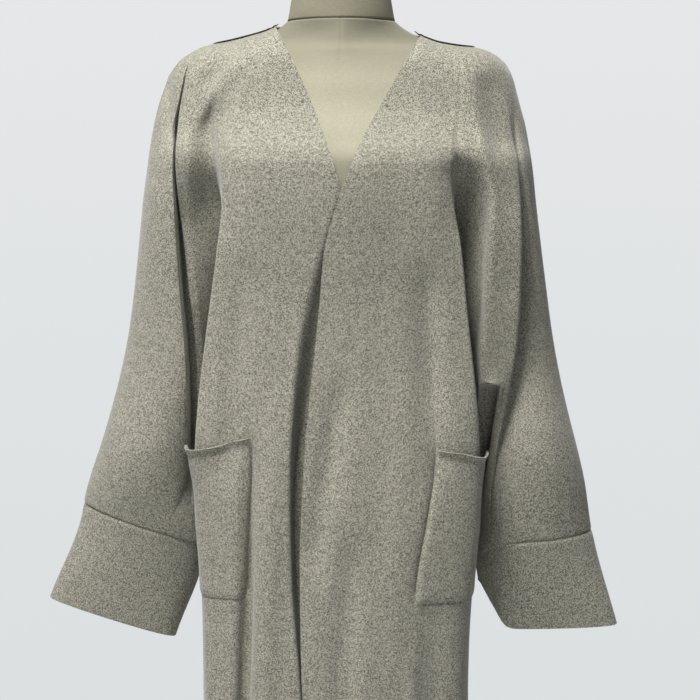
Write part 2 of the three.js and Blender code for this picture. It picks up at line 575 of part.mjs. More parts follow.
// Gives a sheet its wall: an outer and an inner skin, joined round its open edges.
function wall(sheet, normals, standOff = 0) {
  const points = drawIn(sheet);
  const skins = [WALL / 2, -WALL / 2].map((offset) => points.map((point, i) => {
    const normal = normals.get(key(sheet.points[i]));
    return normal.clone().multiplyScalar(offset + standOff).add(new THREE.Vector3(...point));
  }));
  const count = points.length;
  const faces = [
    ...sheet.faces,
    ...sheet.faces.map(([a, b, c]) => [a + count, c + count, b + count]),
  ];
  for (const [from, to] of openEdges(sheet.faces)) {
    faces.push([to, from, from + count], [to, from + count, to + count]);
  }
  return solid(skins.flat(), faces);
}

function solid(points, faces) {
  const geometry = new THREE.BufferGeometry();
  geometry.setAttribute('position', new THREE.Float32BufferAttribute(points.flatMap((p) => p.toArray()), 3));
  geometry.setIndex(faces.flat());
  geometry.computeVertexNormals();
  return geometry;
}

// A closed solid through level rounded ovals, listed from the top down.
function ovalSolid(sections, count) {
  const points = [];
  const faces = [];
  sections.forEach(({ width, z, front, back, power }) => {
    for (let i = 0; i < count; i += 1) {
      const angle = (2 * Math.PI * i) / count;
      const [c, s] = [Math.cos(angle), Math.sin(angle)];
      const round = (value) => Math.sign(value) * Math.abs(value) ** (2 / power);
      points.push(new THREE.Vector3(width * round(c), (s < 0 ? front : back) * round(s), z));
    }
  });
  for (let row = 0; row + 1 < sections.length; row += 1) {
    for (let i = 0; i < count; i += 1) {
      const [a, b] = [row * count + i, row * count + ((i + 1) % count)];
      faces.push([a, a + count, b + count], [a, b + count, b]);
    }
  }
  const top = points.push(new THREE.Vector3(0, 0, sections[0].z)) - 1;
  const bottom = points.push(new THREE.Vector3(0, 0, sections[sections.length - 1].z)) - 1;
  const lastRing = (sections.length - 1) * count;
  for (let i = 0; i < count; i += 1) {
    faces.push([top, i, (i + 1) % count]);
    faces.push([bottom, lastRing + ((i + 1) % count), lastRing + i]);
  }
  return solid(points, faces);
}

// ---------- finishes ----------
const CLOTH = new THREE.MeshStandardMaterial({ name: 'melange_cloth', color: 0x98958a, roughness: 0.9 });
const TAPE = new THREE.MeshStandardMaterial({ name: 'dark_tape', color: 0x1f1d19, roughness: 0.85 });
const LINEN = new THREE.MeshStandardMaterial({ name: 'form_linen', color: 0xdcd8c2, roughness: 0.92 });
const BAND = new THREE.MeshStandardMaterial({ name: 'form_band', color: 0xa8a48c, roughness: 0.9 });
const STEEL = new THREE.MeshStandardMaterial({ name: 'stand_steel', color: 0xb9bcbe, roughness: 0.35, metalness: 1 });
const ENAMEL = new THREE.MeshStandardMaterial({ name: 'base_enamel', color: 0xd8d8d4, roughness: 0.5 });

const model = new THREE.Group();
model.name = 'abaya_on_dress_form';

function add(name, geometry, material) {
  const mesh = new THREE.Mesh(geometry, material);
  mesh.name = name;
  model.add(mesh);
}
const addCloth = (name, geometry, material) => add(name, geometry.translate(GARMENT_SHIFT, 0, 0), material);

// ---------- the garment ----------
const sheets = Object.fromEntries(Object.keys(PANELS).map((name) => [name, panelSheet(name)]));
const cuffs = { right: cuffSheet('right'), left: cuffSheet('left') };
const normals = sharedNormals([...Object.values(sheets), ...Object.values(cuffs)]);

addCloth('front_right', wall(sheets.front_right, normals), CLOTH);
addCloth('front_left', wall(sheets.front_left, normals), CLOTH);
addCloth('back', wall(weld([sheets.back_right, sheets.back_left]), normals), CLOTH);
addCloth('cuff_right', wall(cuffs.right, normals), CLOTH);
addCloth('cuff_left', wall(cuffs.left, normals), CLOTH);

// A patch pocket: the front's own points between the pocket line and the side seam, moved out.
function pocketSheet(name) {
  const { edge, roll } = FRONT_STRETCHES;
  const sheet = new Sheet();
  const rows = POCKET_ROWS.map((z) => sheet.addRow(bodyRow(name, z).slice(edge + roll, -1)));
  rows.slice(1).forEach((row, i) => sheet.join(rows[i], row, !turned(name)));
  return sheet;
}
for (const side of ['right', 'left']) {
  addCloth(`pocket_${side}`, wall(pocketSheet(`front_${side}`), normals, POCKET_STAND_OFF), CLOTH);
}

// A narrow dark tape over each shoulder seam, from the neck outwards.
function shoulderTape(side, start) {
  const points = [];
  const steps = 10;
  const bottom = WALL / 2 + 3 * SEAM_GAP;
  for (let i = 0; i <= steps; i += 1) {
    const out = lerp(start, TAPE_REACH, i / steps);
    for (const [across, up] of [[-0.5, 0], [0.5, 0], [0.5, 1], [-0.5, 1]]) {
      const height = shoulderHeight(side, out) + bottom + up * TAPE_THICKNESS;
      points.push(new THREE.Vector3(side * out, across * TAPE_WIDTH, height));
    }
  }
  const faces = [[0, 2, 1], [0, 3, 2]];
  for (let row = 0; row < steps; row += 1) {
    for (let i = 0; i < 4; i += 1) {
      const [a, b] = [row * 4 + i, row * 4 + ((i + 1) % 4)];
      faces.push([a, b, b + 4], [a, b + 4, a + 4]);
    }
  }
  const end = steps * 4;
  faces.push([end, end + 1, end + 2], [end, end + 2, end + 3]);
  return solid(points, side > 0 ? faces : faces.map(([a, b, c]) => [a, c, b]));
}
addCloth('shoulder_tape_right', shoulderTape(-1, RIGHT_FRONT[0].edge - 3), TAPE);
addCloth('shoulder_tape_left', shoulderTape(1, LEFT_FRONT[0].edge - 6), TAPE);

// ---------- the dress form and its stand ----------
const FORM_BOTTOM_Z = TORSO[TORSO.length - 1].z;
const NECK_Z = SHOULDER_LINE[0].z;
add('form_torso', ovalSolid([...SHOULDER_LINE, ...TORSO], 40), LINEN);
add('form_neck', ovalSolid([
  { width: 49, z: NECK_TOP_Z, front: 46, back: 48, power: 2 },
  { width: 53, z: NECK_TOP_Z - 4, front: 50, back: 51, power: 2 },
  { width: 54, z: lerp(NECK_Z, NECK_TOP_Z, 0.5), front: 50, back: 50, power: 2 },
  { width: 58, z: NECK_Z + SEAM_GAP, front: 51, back: 51, power: 1.95 },
], 32), BAND);

const poleHeight = FORM_BOTTOM_Z - BASE_THICKNESS - 2 * SEAM_GAP;
const pole = new THREE.CylinderGeometry(POLE_RADIUS, POLE_RADIUS, poleHeight, 20);
pole.rotateX(Math.PI / 2);
pole.translate(0, 0, BASE_THICKNESS + SEAM_GAP + poleHeight / 2);
add('stand_pole', pole, STEEL);

const baseProfile = [
  [0, 0], [BASE_RADIUS - 2, 0], [BASE_RADIUS, 2], [BASE_RADIUS, BASE_THICKNESS - 3],
  [BASE_RADIUS - 3, BASE_THICKNESS], [0, BASE_THICKNESS],
].map(([radius, z]) => new THREE.Vector2(radius, z));
const base = new THREE.LatheGeometry(baseProfile, 40);
base.rotateX(Math.PI / 2);
add('stand_base', base, ENAMEL);

export default model;
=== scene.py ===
import math
import bpy
import numpy as np
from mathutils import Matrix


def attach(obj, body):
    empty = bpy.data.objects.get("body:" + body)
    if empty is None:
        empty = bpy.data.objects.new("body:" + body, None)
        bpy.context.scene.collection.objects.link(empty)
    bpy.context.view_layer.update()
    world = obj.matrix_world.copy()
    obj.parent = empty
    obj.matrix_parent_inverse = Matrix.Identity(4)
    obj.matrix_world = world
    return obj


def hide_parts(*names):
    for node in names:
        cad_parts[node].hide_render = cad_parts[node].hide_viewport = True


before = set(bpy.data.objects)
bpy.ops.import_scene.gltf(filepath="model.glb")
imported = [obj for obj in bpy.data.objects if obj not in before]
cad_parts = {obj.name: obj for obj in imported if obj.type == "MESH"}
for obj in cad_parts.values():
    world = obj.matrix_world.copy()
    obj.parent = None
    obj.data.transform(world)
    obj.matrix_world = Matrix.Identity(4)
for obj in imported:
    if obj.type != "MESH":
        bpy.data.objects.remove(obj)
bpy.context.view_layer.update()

# Lengths are in millimetres up to make_mesh, which turns them into metres. The front faces -Y and
# the wearer's right side is towards -X. Every panel is worked out from its middle line outwards.
MM = 0.001
WALL = 1.5
GARMENT_SHIFT = 4.0          # how far the garment hangs towards its left on the form
SHOULDER_Z = 1455.0          # height that stands for the whole sloping shoulder seam in the tables
BUST_Z = 1345.0
UNDERARM_Z = 1094.0
HEM_Z = 95.0
BACK_NECK_DEPTH = 58.0
BACK_NECK_Z = 1496.0
ROW_STEP = 7.5
FAN_ROWS = 25                # rows from the shoulder seam to the bust


# ---------- tables ----------
def table(columns, *rows):
    """Named columns of numbers, read from rows."""
    return dict(zip(columns.split(), np.array(rows, float).T))


SHOULDER_SEAM = table(
    "width right left",
    (74, 1490.8, 1484), (80, 1487, 1480.6), (90, 1482.8, 1476), (105, 1478.4, 1470.9),
    (130, 1472.2, 1466.8), (145, 1469.3, 1465.4), (156, 1466.6, 1462.5), (167, 1461.8, 1457.2),
    (179, 1454.4, 1447.2), (184, 1450.3, 1438.6), (188, 1445.6, 1428.5), (196, 1434, 1420),
)
SHOULDER_ROWS = table(
    "part front back",
    (0, 0, 0), (0.04, 0.28, 0.24), (0.12, 0.48, 0.42), (0.25, 0.59, 0.58),
    (0.42, 0.64, 0.74), (0.62, 0.695, 0.88), (0.81, 0.805, 0.96), (1, 0.985, 1),
)
DEPTH = table(
    "z front back",
    (1345, 131, 109), (1310, 130.5, 110), (1241, 124.5, 108), (1184, 119.5, 107),
    (1128, 118, 107), (1094, 118.5, 108), (1026, 121.5, 110),
    (960, 125, 112), (800, 127, 116), (500, 131, 121), (95, 136, 128),
)
UPPER_COLUMNS = "z edge roll pocket side tuck fold crease out sink nip"
RIGHT_FRONT = table(
    UPPER_COLUMNS,
    (1455, 77, 92, 108, 130, 148, 163, 168, 196, 0, 0),
    (1405, 45, 60, 93, 137, 162, 176, 182, 209, 0.08, 11),
    (1375, 29, 43, 88, 134, 168, 180, 186, 214, 0.24, 20),
    (1333, 10, 24, 84, 128, 170, 181, 187, 219, 0.36, 26),
    (1297, 1, 14, 88, 129, 170, 179, 186, 224, 0.52, 30),
    (1241, -6, 29, 98, 135, 167, 173, 184, 230, 0.62, 34),
    (1184, -8, 43, 107, 143, 163, 168, 181, 237, 0.78, 34),
    (1128, -8, 52, 107, 151, 156, 161, 176, 245, 0.9, 34),
    (1094, -8, 55, 104, 155, 159, 163, 175, 254, 1, 30),
)
LEFT_FRONT = table(
    UPPER_COLUMNS,
    (1455, 84, 97, 112, 122, 134, 168, 173, 188, 0, 0),
    (1400, 46, 60, 92, 118, 139, 182, 186, 200, 0, 3),
    (1350, 14, 36, 80, 110, 147, 187, 190, 206.5, 0.03, 6),
    (1325, 3, 29, 80, 110, 155, 188.5, 192, 210, 0.24, 8),
    (1297, -7, 22, 80, 114, 159, 190, 194, 213, 0.45, 9),
    (1241, -22, 12, 84, 124, 156, 192, 196, 220, 0.66, 11),
    (1184, -27, 6, 88, 130, 153, 191, 195, 227.5, 0.7, 12),
    (1128, -33, 0, 92, 136, 147, 188, 192, 235, 0.88, 13),
    (1094, -37, -4, 94, 141, 148, 184, 188, 243, 1, 14),
)
RIGHT_BACK = table(
    UPPER_COLUMNS,
    (1455, 0, 30, 77, 134, 152, 170, 180, 196, 0, 0),
    (1400, 0, 40, 88, 140, 158, 178, 187, 210, 0, 3),
    (1345, 0, 44, 92, 142, 166, 182, 192, 218, 0.12, 10),
    (1241, 0, 48, 96, 146, 164, 184, 194, 230, 0.4, 18),
    (1128, 0, 50, 98, 151, 157, 180, 190, 245, 0.85, 16),
    (1094, 0, 50, 98, 155, 161, 180, 190, 254, 1, 12),
)
LEFT_BACK = table(
    UPPER_COLUMNS,
    (1455, 0, 30, 84, 134, 152, 168, 177, 188, 0, 0),
    (1400, 0, 38, 86, 136, 154, 174, 184, 200, 0, 3),
    (1345, 0, 42, 86, 138, 160, 176, 187, 207, 0.12, 10),
    (1241, 0, 45, 88, 138, 156, 176, 188, 220, 0.4, 16),
    (1128, 0, 46, 90, 137, 145, 170, 182, 235, 0.85, 14),
    (1094, 0, 46, 90, 141, 148, 170, 182, 243, 1, 10),
)
BODY_COLUMNS = "z edge roll pocket side seam corner"
RIGHT_FRONT_BODY = table(
    BODY_COLUMNS,
    (1094, -8, 55, 104, 155, 158, 108), (1026, -8, 60, 98, 161, 154, 98),
    (960, -8, 61, 101, 160, 151, 89), (890, -8, 59, 104, 156, 149, 82),
    (800, -8, 52, 108, 153, 150, 77), (732, -8, 48, 110, 151, 152, 75),
    (500, -8, 46, 112, 154, 158, 74), (95, -8, 46, 116, 163, 170, 74),
)
LEFT_FRONT_BODY = table(
    BODY_COLUMNS,
    (1094, -37, -4, 94, 141, 144, 106), (1026, -43, -8, 97, 147, 140, 97),
    (960, -46, -9, 88, 146, 137, 88), (890, -48, -9, 76, 140, 134, 82),
    (800, -47, -8, 70, 133, 132, 77), (732, -45, -6, 70, 131, 133, 75),
    (500, -44, -4, 74, 138, 143, 74), (95, -44, -2, 80, 150, 158, 74),
)
RIGHT_BACK_BODY = table(
    BODY_COLUMNS,
    (1094, 0, 50, 98, 155, 158, 92), (1026, 0, 50, 98, 150, 154, 66),
    (890, 0, 50, 98, 145, 149, 58), (732, 0, 50, 98, 149, 152, 60),
    (95, 0, 54, 106, 164, 170, 66),
)
LEFT_BACK_BODY = table(
    BODY_COLUMNS,
    (1094, 0, 46, 90, 141, 144, 92), (1026, 0, 46, 90, 136, 140, 66),
    (890, 0, 45, 88, 130, 134, 58), (732, 0, 45, 88, 130, 133, 60),
    (95, 0, 52, 100, 152, 158, 66),
)
SLEEVE_COLUMNS = "part middle z half depth fall lift spread"
RIGHT_SLEEVE = table(
    SLEEVE_COLUMNS,
    (0, 206, 1094, 48, 76, 0, 0, 1), (0.4, 219, 1026, 53, 66, 0.1, 0, 0.7),
    (0.7, 226, 976, 61, 56, 0.22, 0, 1), (1, 228, 934, 68, 45, 0.31, 0, 1.5),
    (2, 266, 824, 70, 22, 0.32, 0, 1.5),
)
LEFT_SLEEVE = table(
    SLEEVE_COLUMNS,
    (0, 194, 1094, 49, 76, 0, 0, 1), (0.035, 206, 1092, 38, 76, 0, 0, 0.6),
    (0.2, 206, 1062, 43, 74, 0, 0, 0.55),
    (0.4, 206, 1034, 52, 69, 0.04, 0, 0.55), (0.7, 212, 976, 59, 58, 0.08, 2, 0.4),
    (1, 215, 918, 65, 46, 0.09, 5, 0.7), (2, 232, 814, 78, 26, 0.02, 52, 0.8),
)
# Soft folds in the faces of the body, each straight from its top to its bottom.
FOLD_COLUMNS = "top bottom out_top out_bottom width depth_top depth_bottom"
FOLDS = {
    "front_right": [
        (1270, 1040, 98, 124, 15, 3, 9),
        (1070, 95, 99, 126, 10, 7, 26),
    ],
    "front_left": [
        (1250, 1030, 78, 96, 15, 3, 6),
        (1120, 930, -4, -30, 14, 2, 6),
        (960, 95, 8, -30, 15, 6, 14),
        (900, 95, 94, 112, 16, 2, 20),
    ],
    "back_right": [(1180, 95, 46, 54, 18, 2, 32), (1080, 95, 108, 122, 17, 2, 28)],
    "back_left": [(1200, 95, 40, 46, 18, 2, 30), (1050, 95, 96, 108, 17, 2, 30)],
}
UNDERLAP = table(
    "z depth",
    (1345, 0), (1312, 3), (1241, 8), (1184, 13), (1071, 26), (890, 29), (732, 27), (500, 28), (95, 30),
)
PANELS = {
    name: dict(side=side, face=name.split("_")[0], upper=upper, body=body, sleeve=sleeve)
    for name, side, upper, body, sleeve in (
        ("front_right", -1, RIGHT_FRONT, RIGHT_FRONT_BODY, RIGHT_SLEEVE),
        ("front_left", 1, LEFT_FRONT, LEFT_FRONT_BODY, LEFT_SLEEVE),
        ("back_right", -1, RIGHT_BACK, RIGHT_BACK_BODY, RIGHT_SLEEVE),
        ("back_left", 1, LEFT_BACK, LEFT_BACK_BODY, LEFT_SLEEVE),
    )
}
PARTNER = {"front_right": "back_right", "back_right": "front_right",
           "front_left": "back_left", "back_left": "front_left"}
# Share of the face's depth that the sleeve cloth keeps beside the underarm fold.
SLEEVE_SET_BACK = 0.79
# How far the cloth between the fold and the sleeve's pleat lies back.
STRIP_RECESS = {"front_right": 30, "front_left": 0, "back_right": 0, "back_left": 0}
# Height below which the sleeve's pleat stops standing proud of the sleeve's outer half.
STEP_END = {"front_right": 1500, "front_left": 850, "back_right": 1120, "back_left": 1120}
# Least share of that pleat that is kept all the way down.
PLEAT_ROLL = {"front_right": 0.2, "front_left": 0, "back_right": 0, "back_left": 0}
# How level the cloth between fold and pleat is, from 0 on the oval to 1 level with its tuck.
STRIP_FLATNESS = {"front_right": 0.2, "front_left": 0.65, "back_right": 0, "back_left": 0}
# Power of the underarm hollow's outer wall: below 1 it is full, above 1 it is scooped.
HOLLOW_SHAPE = {"front_right": 1.0, "front_left": 0.6, "back_right": 1.5, "back_left": 1.5}
# Columns of the sleeve beside the underarm whose corner stays sharp, for the opening in front of it.
SLEEVE_KEPT = {"front_right": 0, "front_left": 7, "back_right": 0, "back_left": 0}
# How far the point of the underarm hangs below its front, and how far out that point is.
UNDERARM_DROP = {"right": (30, 160), "left": (98, 152)}
# Points in each stretch of a row before it is rounded.
STRETCHES = dict(edge=8, roll=6, pocket=12, side=6, seam=6, tuck=3, fold=4, crease=8)
SEAM_COLUMN = STRETCHES["edge"] + STRETCHES["roll"] + STRETCHES["pocket"] + STRETCHES["side"]
TUCK = STRETCHES["seam"]     # columns from the slit to the first edge of the sleeve cloth

# Patch pockets: heights of the top edge at shares of its width, the bottom, and how far the top's
# outer end gapes.
POCKETS = {
    "front_right": dict(top=((0, 1043), (0.5, 1034), (0.85, 1029), (1, 1030)), bottom=868, gape=7),
    "front_left": dict(top=((0, 1030), (0.5, 1026), (0.8, 1021), (1, 1027)), bottom=864, gape=4),
}
# Creases, given one by one. Each runs through places (out from the middle, height) and rises (+) or
# sinks (-) by its depth in a bell of its width; it fades at both ends.
CREASES = {
    "front_right": [
        ([(104, 1474), (118, 1458), (136, 1438), (156, 1416)], 12, -5),
        ([(104, 1460), (118, 1444), (134, 1422), (150, 1398), (171, 1368)], 8, 5),
        ([(199, 1440), (194, 1420), (191, 1394), (189, 1355)], 6, -4),
        ([(214, 1322), (205, 1300), (194, 1284)], 3.5, 2),
        ([(104, 1280), (100, 1150), (104, 1060)], 15, 3),
        ([(58, 1150), (76, 1040), (80, 920), (86, 800), (96, 600), (104, 150)], 13, 6),
        ([(101, 1020), (103, 900), (107, 800), (113, 650), (122, 400), (127, 120)], 7, -8),
        ([(150, 940), (146, 820), (146, 600), (150, 140)], 12, 4),
    ],
    "front_left": [
        ([(128, 1455), (136, 1420), (140, 1385), (147, 1350), (154, 1330)], 9, 3),
        ([(156, 1445), (163, 1415), (168, 1380), (174, 1335)], 15, -5),
        ([(186, 1412), (192, 1345), (200, 1302), (208, 1241), (214, 1170)], 3, -3),
        ([(66, 1140), (60, 980), (54, 870), (50, 600)], 16, 3),
        ([(2, 1120), (-14, 1040), (-22, 960)], 11, -3),
        ([(88, 1240), (92, 1130), (92, 1050)], 14, -3),
        ([(76, 870), (70, 760), (70, 600), (76, 150)], 9, 6),
        ([(20, 900), (14, 760), (10, 560), (6, 200)], 15, 4),
    ],
    "back_right": [
        ([(120, 1450), (90, 1330), (60, 1180)], 22, 5),
        ([(160, 1420), (140, 1300), (120, 1160)], 16, -5),
    ],
    "back_left": [
        ([(115, 1450), (86, 1330), (58, 1180)], 22, 5),
        ([(158, 1420), (138, 1300), (116, 1160)], 16, -5),
    ],
}

# ---------- helpers ----------
def lerp(start, end, share):
    return start + (end - start) * share


def ease(value):
    """Smooth step: 0 below 0, 1 above 1, 3s^2 - 2s^3 between."""
    s = np.clip(value, 0, 1)
    return s * s * (3 - 2 * s)


def read(rows, place, column):
    """A column of a table at a place along its first column: a cubic through the rows whose slope at
    each is the harmonic mean of the slopes on both sides, so that it doesn't overshoot."""
    key = next(iter(rows))
    order = np.argsort(rows[key])
    xs, ys = rows[key][order], rows[column][order]
    rise = np.diff(ys) / np.diff(xs)
    before, after = rise[:-1], rise[1:]
    same = before * after > 0
    inner = np.where(same, 2 * before * after / np.where(same, before + after, 1), 0)
    slope = np.concatenate([rise[:1], inner, rise[-1:]])
    place = np.clip(place, xs[0], xs[-1])
    i = np.clip(np.searchsorted(xs, place, side="right") - 1, 0, len(xs) - 2)
    span = xs[i + 1] - xs[i]
    s = (place - xs[i]) / span
    middle = ys[i] + (ys[i + 1] - ys[i]) * s * s * (3 - 2 * s)
    return middle + span * s * (1 - s) * (slope[i] * (1 - s) - slope[i + 1] * s)


def oval(out, width, power):
    """Share of the full depth of a rounded oval at a distance out from its middle."""
    return np.maximum(0, 1 - np.abs(out / width) ** power) ** (1 / power)


def stretch(start, end, count):
    """Evenly spaced columns from start up to, and without, end."""
    return start + (end - start) * (np.arange(count) / count)[None, :]


def column(value):
    return np.asarray(value, float).reshape(-1, 1)


# ---------- the panels ----------
def fold_depth(name, out, z):
    """Inward depth of a panel's soft folds: a bell across each, growing down its length."""
    depth = 0
    for row in FOLDS[name]:
        f = dict(zip(FOLD_COLUMNS.split(), row))
        part = np.clip((f["top"] - z) / (f["top"] - f["bottom"]), 0, 1)
        past = 0 if f["bottom"] == HEM_Z else np.maximum(0, f["bottom"] - z) / 60
        middle = lerp(f["out_top"], f["out_bottom"], part)
        bell = np.exp(-(((out - middle) / f["width"]) ** 2))
        start = ease((f["top"] - z) / 60)
        depth = depth + lerp(f["depth_top"], f["depth_bottom"], part) * start * (1 - ease(past)) * bell
    return depth


def lap_depth(name, out, z):
    """How far a front's free edge is set in: behind the other front on the right, proud on the left."""
    if name == "front_right":
        upper, body = read(RIGHT_FRONT, z, "roll"), read(RIGHT_FRONT_BODY, z, "roll")
        roll = np.where(z > UNDERARM_Z, upper, body)
        reach = lerp(18, 5, ease((UNDERARM_Z + 60 - z) / 160))
        return read(UNDERLAP, z, "depth") * (1 - ease((out - roll + reach) / reach))
    if name == "front_left":
        return -6 * (1 - ease(out / 60)) * ease((BUST_Z + 20 - z) / 40)
    return 0


def upper_section(name, part, z):
    """Rows above the underarm as distances out and depths. The face follows a rounded oval with its
    soft folds taken off; a steep-sided valley parts body and sleeve; a pleat follows on the sleeve;
    the last stretch turns by even angles into the overarm seam."""
    panel = PANELS[name]
    face, upper = panel["face"], panel["upper"]
    part, z = column(part), column(z)
    table_z = np.where(part < 1, lerp(SHOULDER_Z, BUST_Z, part), z)
    marks = {c: read(upper, table_z, c) for c in UPPER_COLUMNS.split()[1:]}
    out = marks["out"]
    full = read(DEPTH, z, face) * read(SHOULDER_ROWS, part, face)
    surface = lambda at: full * oval(at, out, 2.4)
    side, tuck, fold, crease = (marks[c] for c in ("side", "tuck", "fold", "crease"))
    n = STRETCHES
    faces = np.hstack([
        stretch(marks["edge"], marks["roll"], n["edge"]),
        stretch(marks["roll"], marks["pocket"], n["roll"]),
        stretch(marks["pocket"], side, n["pocket"]),
    ])
    fade = ease((side - faces) / 12)
    is_front = face == "front"
    soft = ease((table_z - 1235) / 60) * is_front
    rounding = 8 * soft * np.minimum(1, marks["sink"] / 0.2)
    face_depth = surface(faces) - rounding * np.clip(1 - (side - faces) / 26, 0, 1) ** 2
    face_depth -= (fold_depth(name, faces, table_z) + lap_depth(name, faces, table_z)) * fade * part
    under = ease((z - 1105) / 70) * ease((1350 - table_z) / 90) * is_front
    shrink = lerp(1, SLEEVE_SET_BACK, ease((1330 - z) / 236))
    recess = STRIP_RECESS[name] * (ease((1365 - table_z) / 100) + ease((1180 - table_z) / 80))
    seam = lerp(lerp(side, tuck, lerp(0.5, 0.35, is_front)), side - 1.5, under)
    floor = lerp(surface(seam), 1.0, marks["sink"])
    down = (np.arange(n["side"]) / n["side"])[None, :]
    valley_in = lerp(side, seam, down) + 2 * under * np.sin(np.pi * down) * marks["sink"]
    sinking = lerp(lerp(np.minimum(1, down / 0.52), ease(down / 0.95), soft), down, under)
    valley_in_depth = lerp(surface(side) - rounding, floor, sinking)
    up = 1 - (np.arange(n["seam"]) / n["seam"])[None, :]
    flat = STRIP_FLATNESS[name] * under
    strip = lambda at: np.maximum(1.5, lerp(surface(at), surface(tuck), flat) * shrink - recess)
    valley_out = lerp(tuck, seam, up)
    rise = lerp(lerp(np.minimum(1, up / 0.52), ease(up / 0.95), soft), up ** HOLLOW_SHAPE[name], under)
    valley_out_depth = lerp(strip(tuck), floor, rise)
    between = stretch(tuck, fold, n["tuck"])
    pleat = lerp(fold, crease, np.array([[0, 0.12, 0.5, 0.88]]))
    step = np.maximum(PLEAT_ROLL[name], ease((table_z - STEP_END[name]) / 200)) * is_front
    sunk = marks["nip"] * np.array([[0, 1, 1, 1]]) + recess * np.array([[0, 0.9, 0.8, 0.6]])
    pleat_depth = np.maximum(1, surface(pleat) * shrink - sunk)
    pleat_depth[:, :1] = strip(fold)
    start = np.arcsin(np.clip(crease / out, 0, 1) ** 1.2)
    share = (np.arange(n["crease"]) / n["crease"])[None, :]
    turns = start + (np.pi / 2 - start) * share
    outer = out * np.sin(turns) ** (1 / 1.2)
    outer_depth = np.maximum(0, surface(outer) * shrink - marks["nip"] * step * (1 - share) ** 3)
    outs = np.hstack([faces, valley_in, valley_out, between, pleat, outer, out])
    depths = np.hstack([face_depth, valley_in_depth, valley_out_depth, strip(between),
                        pleat_depth, outer_depth, np.zeros_like(out)])
    return outs, depths


def upper_rows(name, part, z):
    """Rows above the underarm in space. Those above the bust fan out from the shoulder seam."""
    panel = PANELS[name]
    side, face = panel["side"], panel["face"]
    direction = -1 if face == "front" else 1
    outs, depths = upper_section(name, part, z)
    part, z = column(part), column(z)
    neck = panel["upper"]["pocket" if face == "back" else "edge"][0]
    behind = np.where((outs < neck) & (face == "back"), 1 - (outs / neck) ** 2, 0)
    seam_z = read(SHOULDER_SEAM, np.maximum(outs, neck), "right" if side < 0 else "left")
    seam_z = lerp(seam_z, BACK_NECK_Z, behind)
    reach = read(SHOULDER_ROWS, part, face)
    y = BACK_NECK_DEPTH * np.sqrt(np.maximum(0, behind)) * (1 - reach) + direction * depths
    height = np.where(part < 1, lerp(seam_z, BUST_Z, part), z)
    return np.stack([side * outs, y, height], axis=2)


def body_rows(name, z):
    """Rows of the body below the underarm, from the front edge or the middle to the side seam."""
    panel = PANELS[name]
    direction = -1 if panel["face"] == "front" else 1
    z = column(z)
    marks = {c: read(panel["body"], z, c) for c in BODY_COLUMNS.split()[1:]}
    side, seam, corner = marks["side"], marks["seam"], marks["corner"]
    full = read(DEPTH, z, panel["face"])
    n = STRETCHES
    outs = np.hstack([
        lerp(marks["edge"], marks["roll"], 1 - (1 - np.arange(n["edge"])[None, :] / n["edge"])
             ** (1 + ease((UNDERARM_Z - z) / 120))),
        stretch(marks["roll"], marks["pocket"], n["roll"]),
        stretch(marks["pocket"], side, n["pocket"]),
    ])
    soft = lambda at: (corner + (full - corner) * oval(at, side, 2.2)
                       - fold_depth(name, at, z) - lap_depth(name, at, z))
    share = (np.arange(n["side"] + 1) / n["side"])[None, :]
    level = lerp(np.minimum(1, share / 0.52), share, ease((UNDERARM_Z - z) / 60))
    turn = lerp(side, seam, share) + 5 * ease((UNDERARM_Z - z) / 60) * np.sin(np.pi * share)
    start = soft(side)
    turn_depth = lerp(start, corner, ease(share * 4)) * (1 - level)
    outs = np.hstack([outs, turn])
    depths = np.hstack([soft(outs[:, :SEAM_COLUMN - n["side"]]), turn_depth])
    depths[:, -1] = 0
    return np.stack([panel["side"] * outs, direction * depths, np.broadcast_to(z, outs.shape)], axis=2)


def sleeve_shares(name, spread):
    """Shares of the half turn round a sleeve, from the underarm seam (0) to the overarm seam (1)."""
    sleeve = PANELS[name]["sleeve"]
    outs = upper_section(name, 1, UNDERARM_Z)[0][:, SEAM_COLUMN:]
    shares = np.arccos(np.clip((sleeve["middle"][0] - outs) / sleeve["half"][0], -1, 1)) / np.pi
    shares[:, :TUCK] = shares[:, TUCK:TUCK + 1] * (np.arange(TUCK) / TUCK)[None, :]
    crease = shares[:, -1 - STRETCHES["crease"], None]
    past = crease * spread + (shares - crease) / (1 - crease) * (1 - crease * spread)
    return np.where(shares <= crease, shares * spread, past)


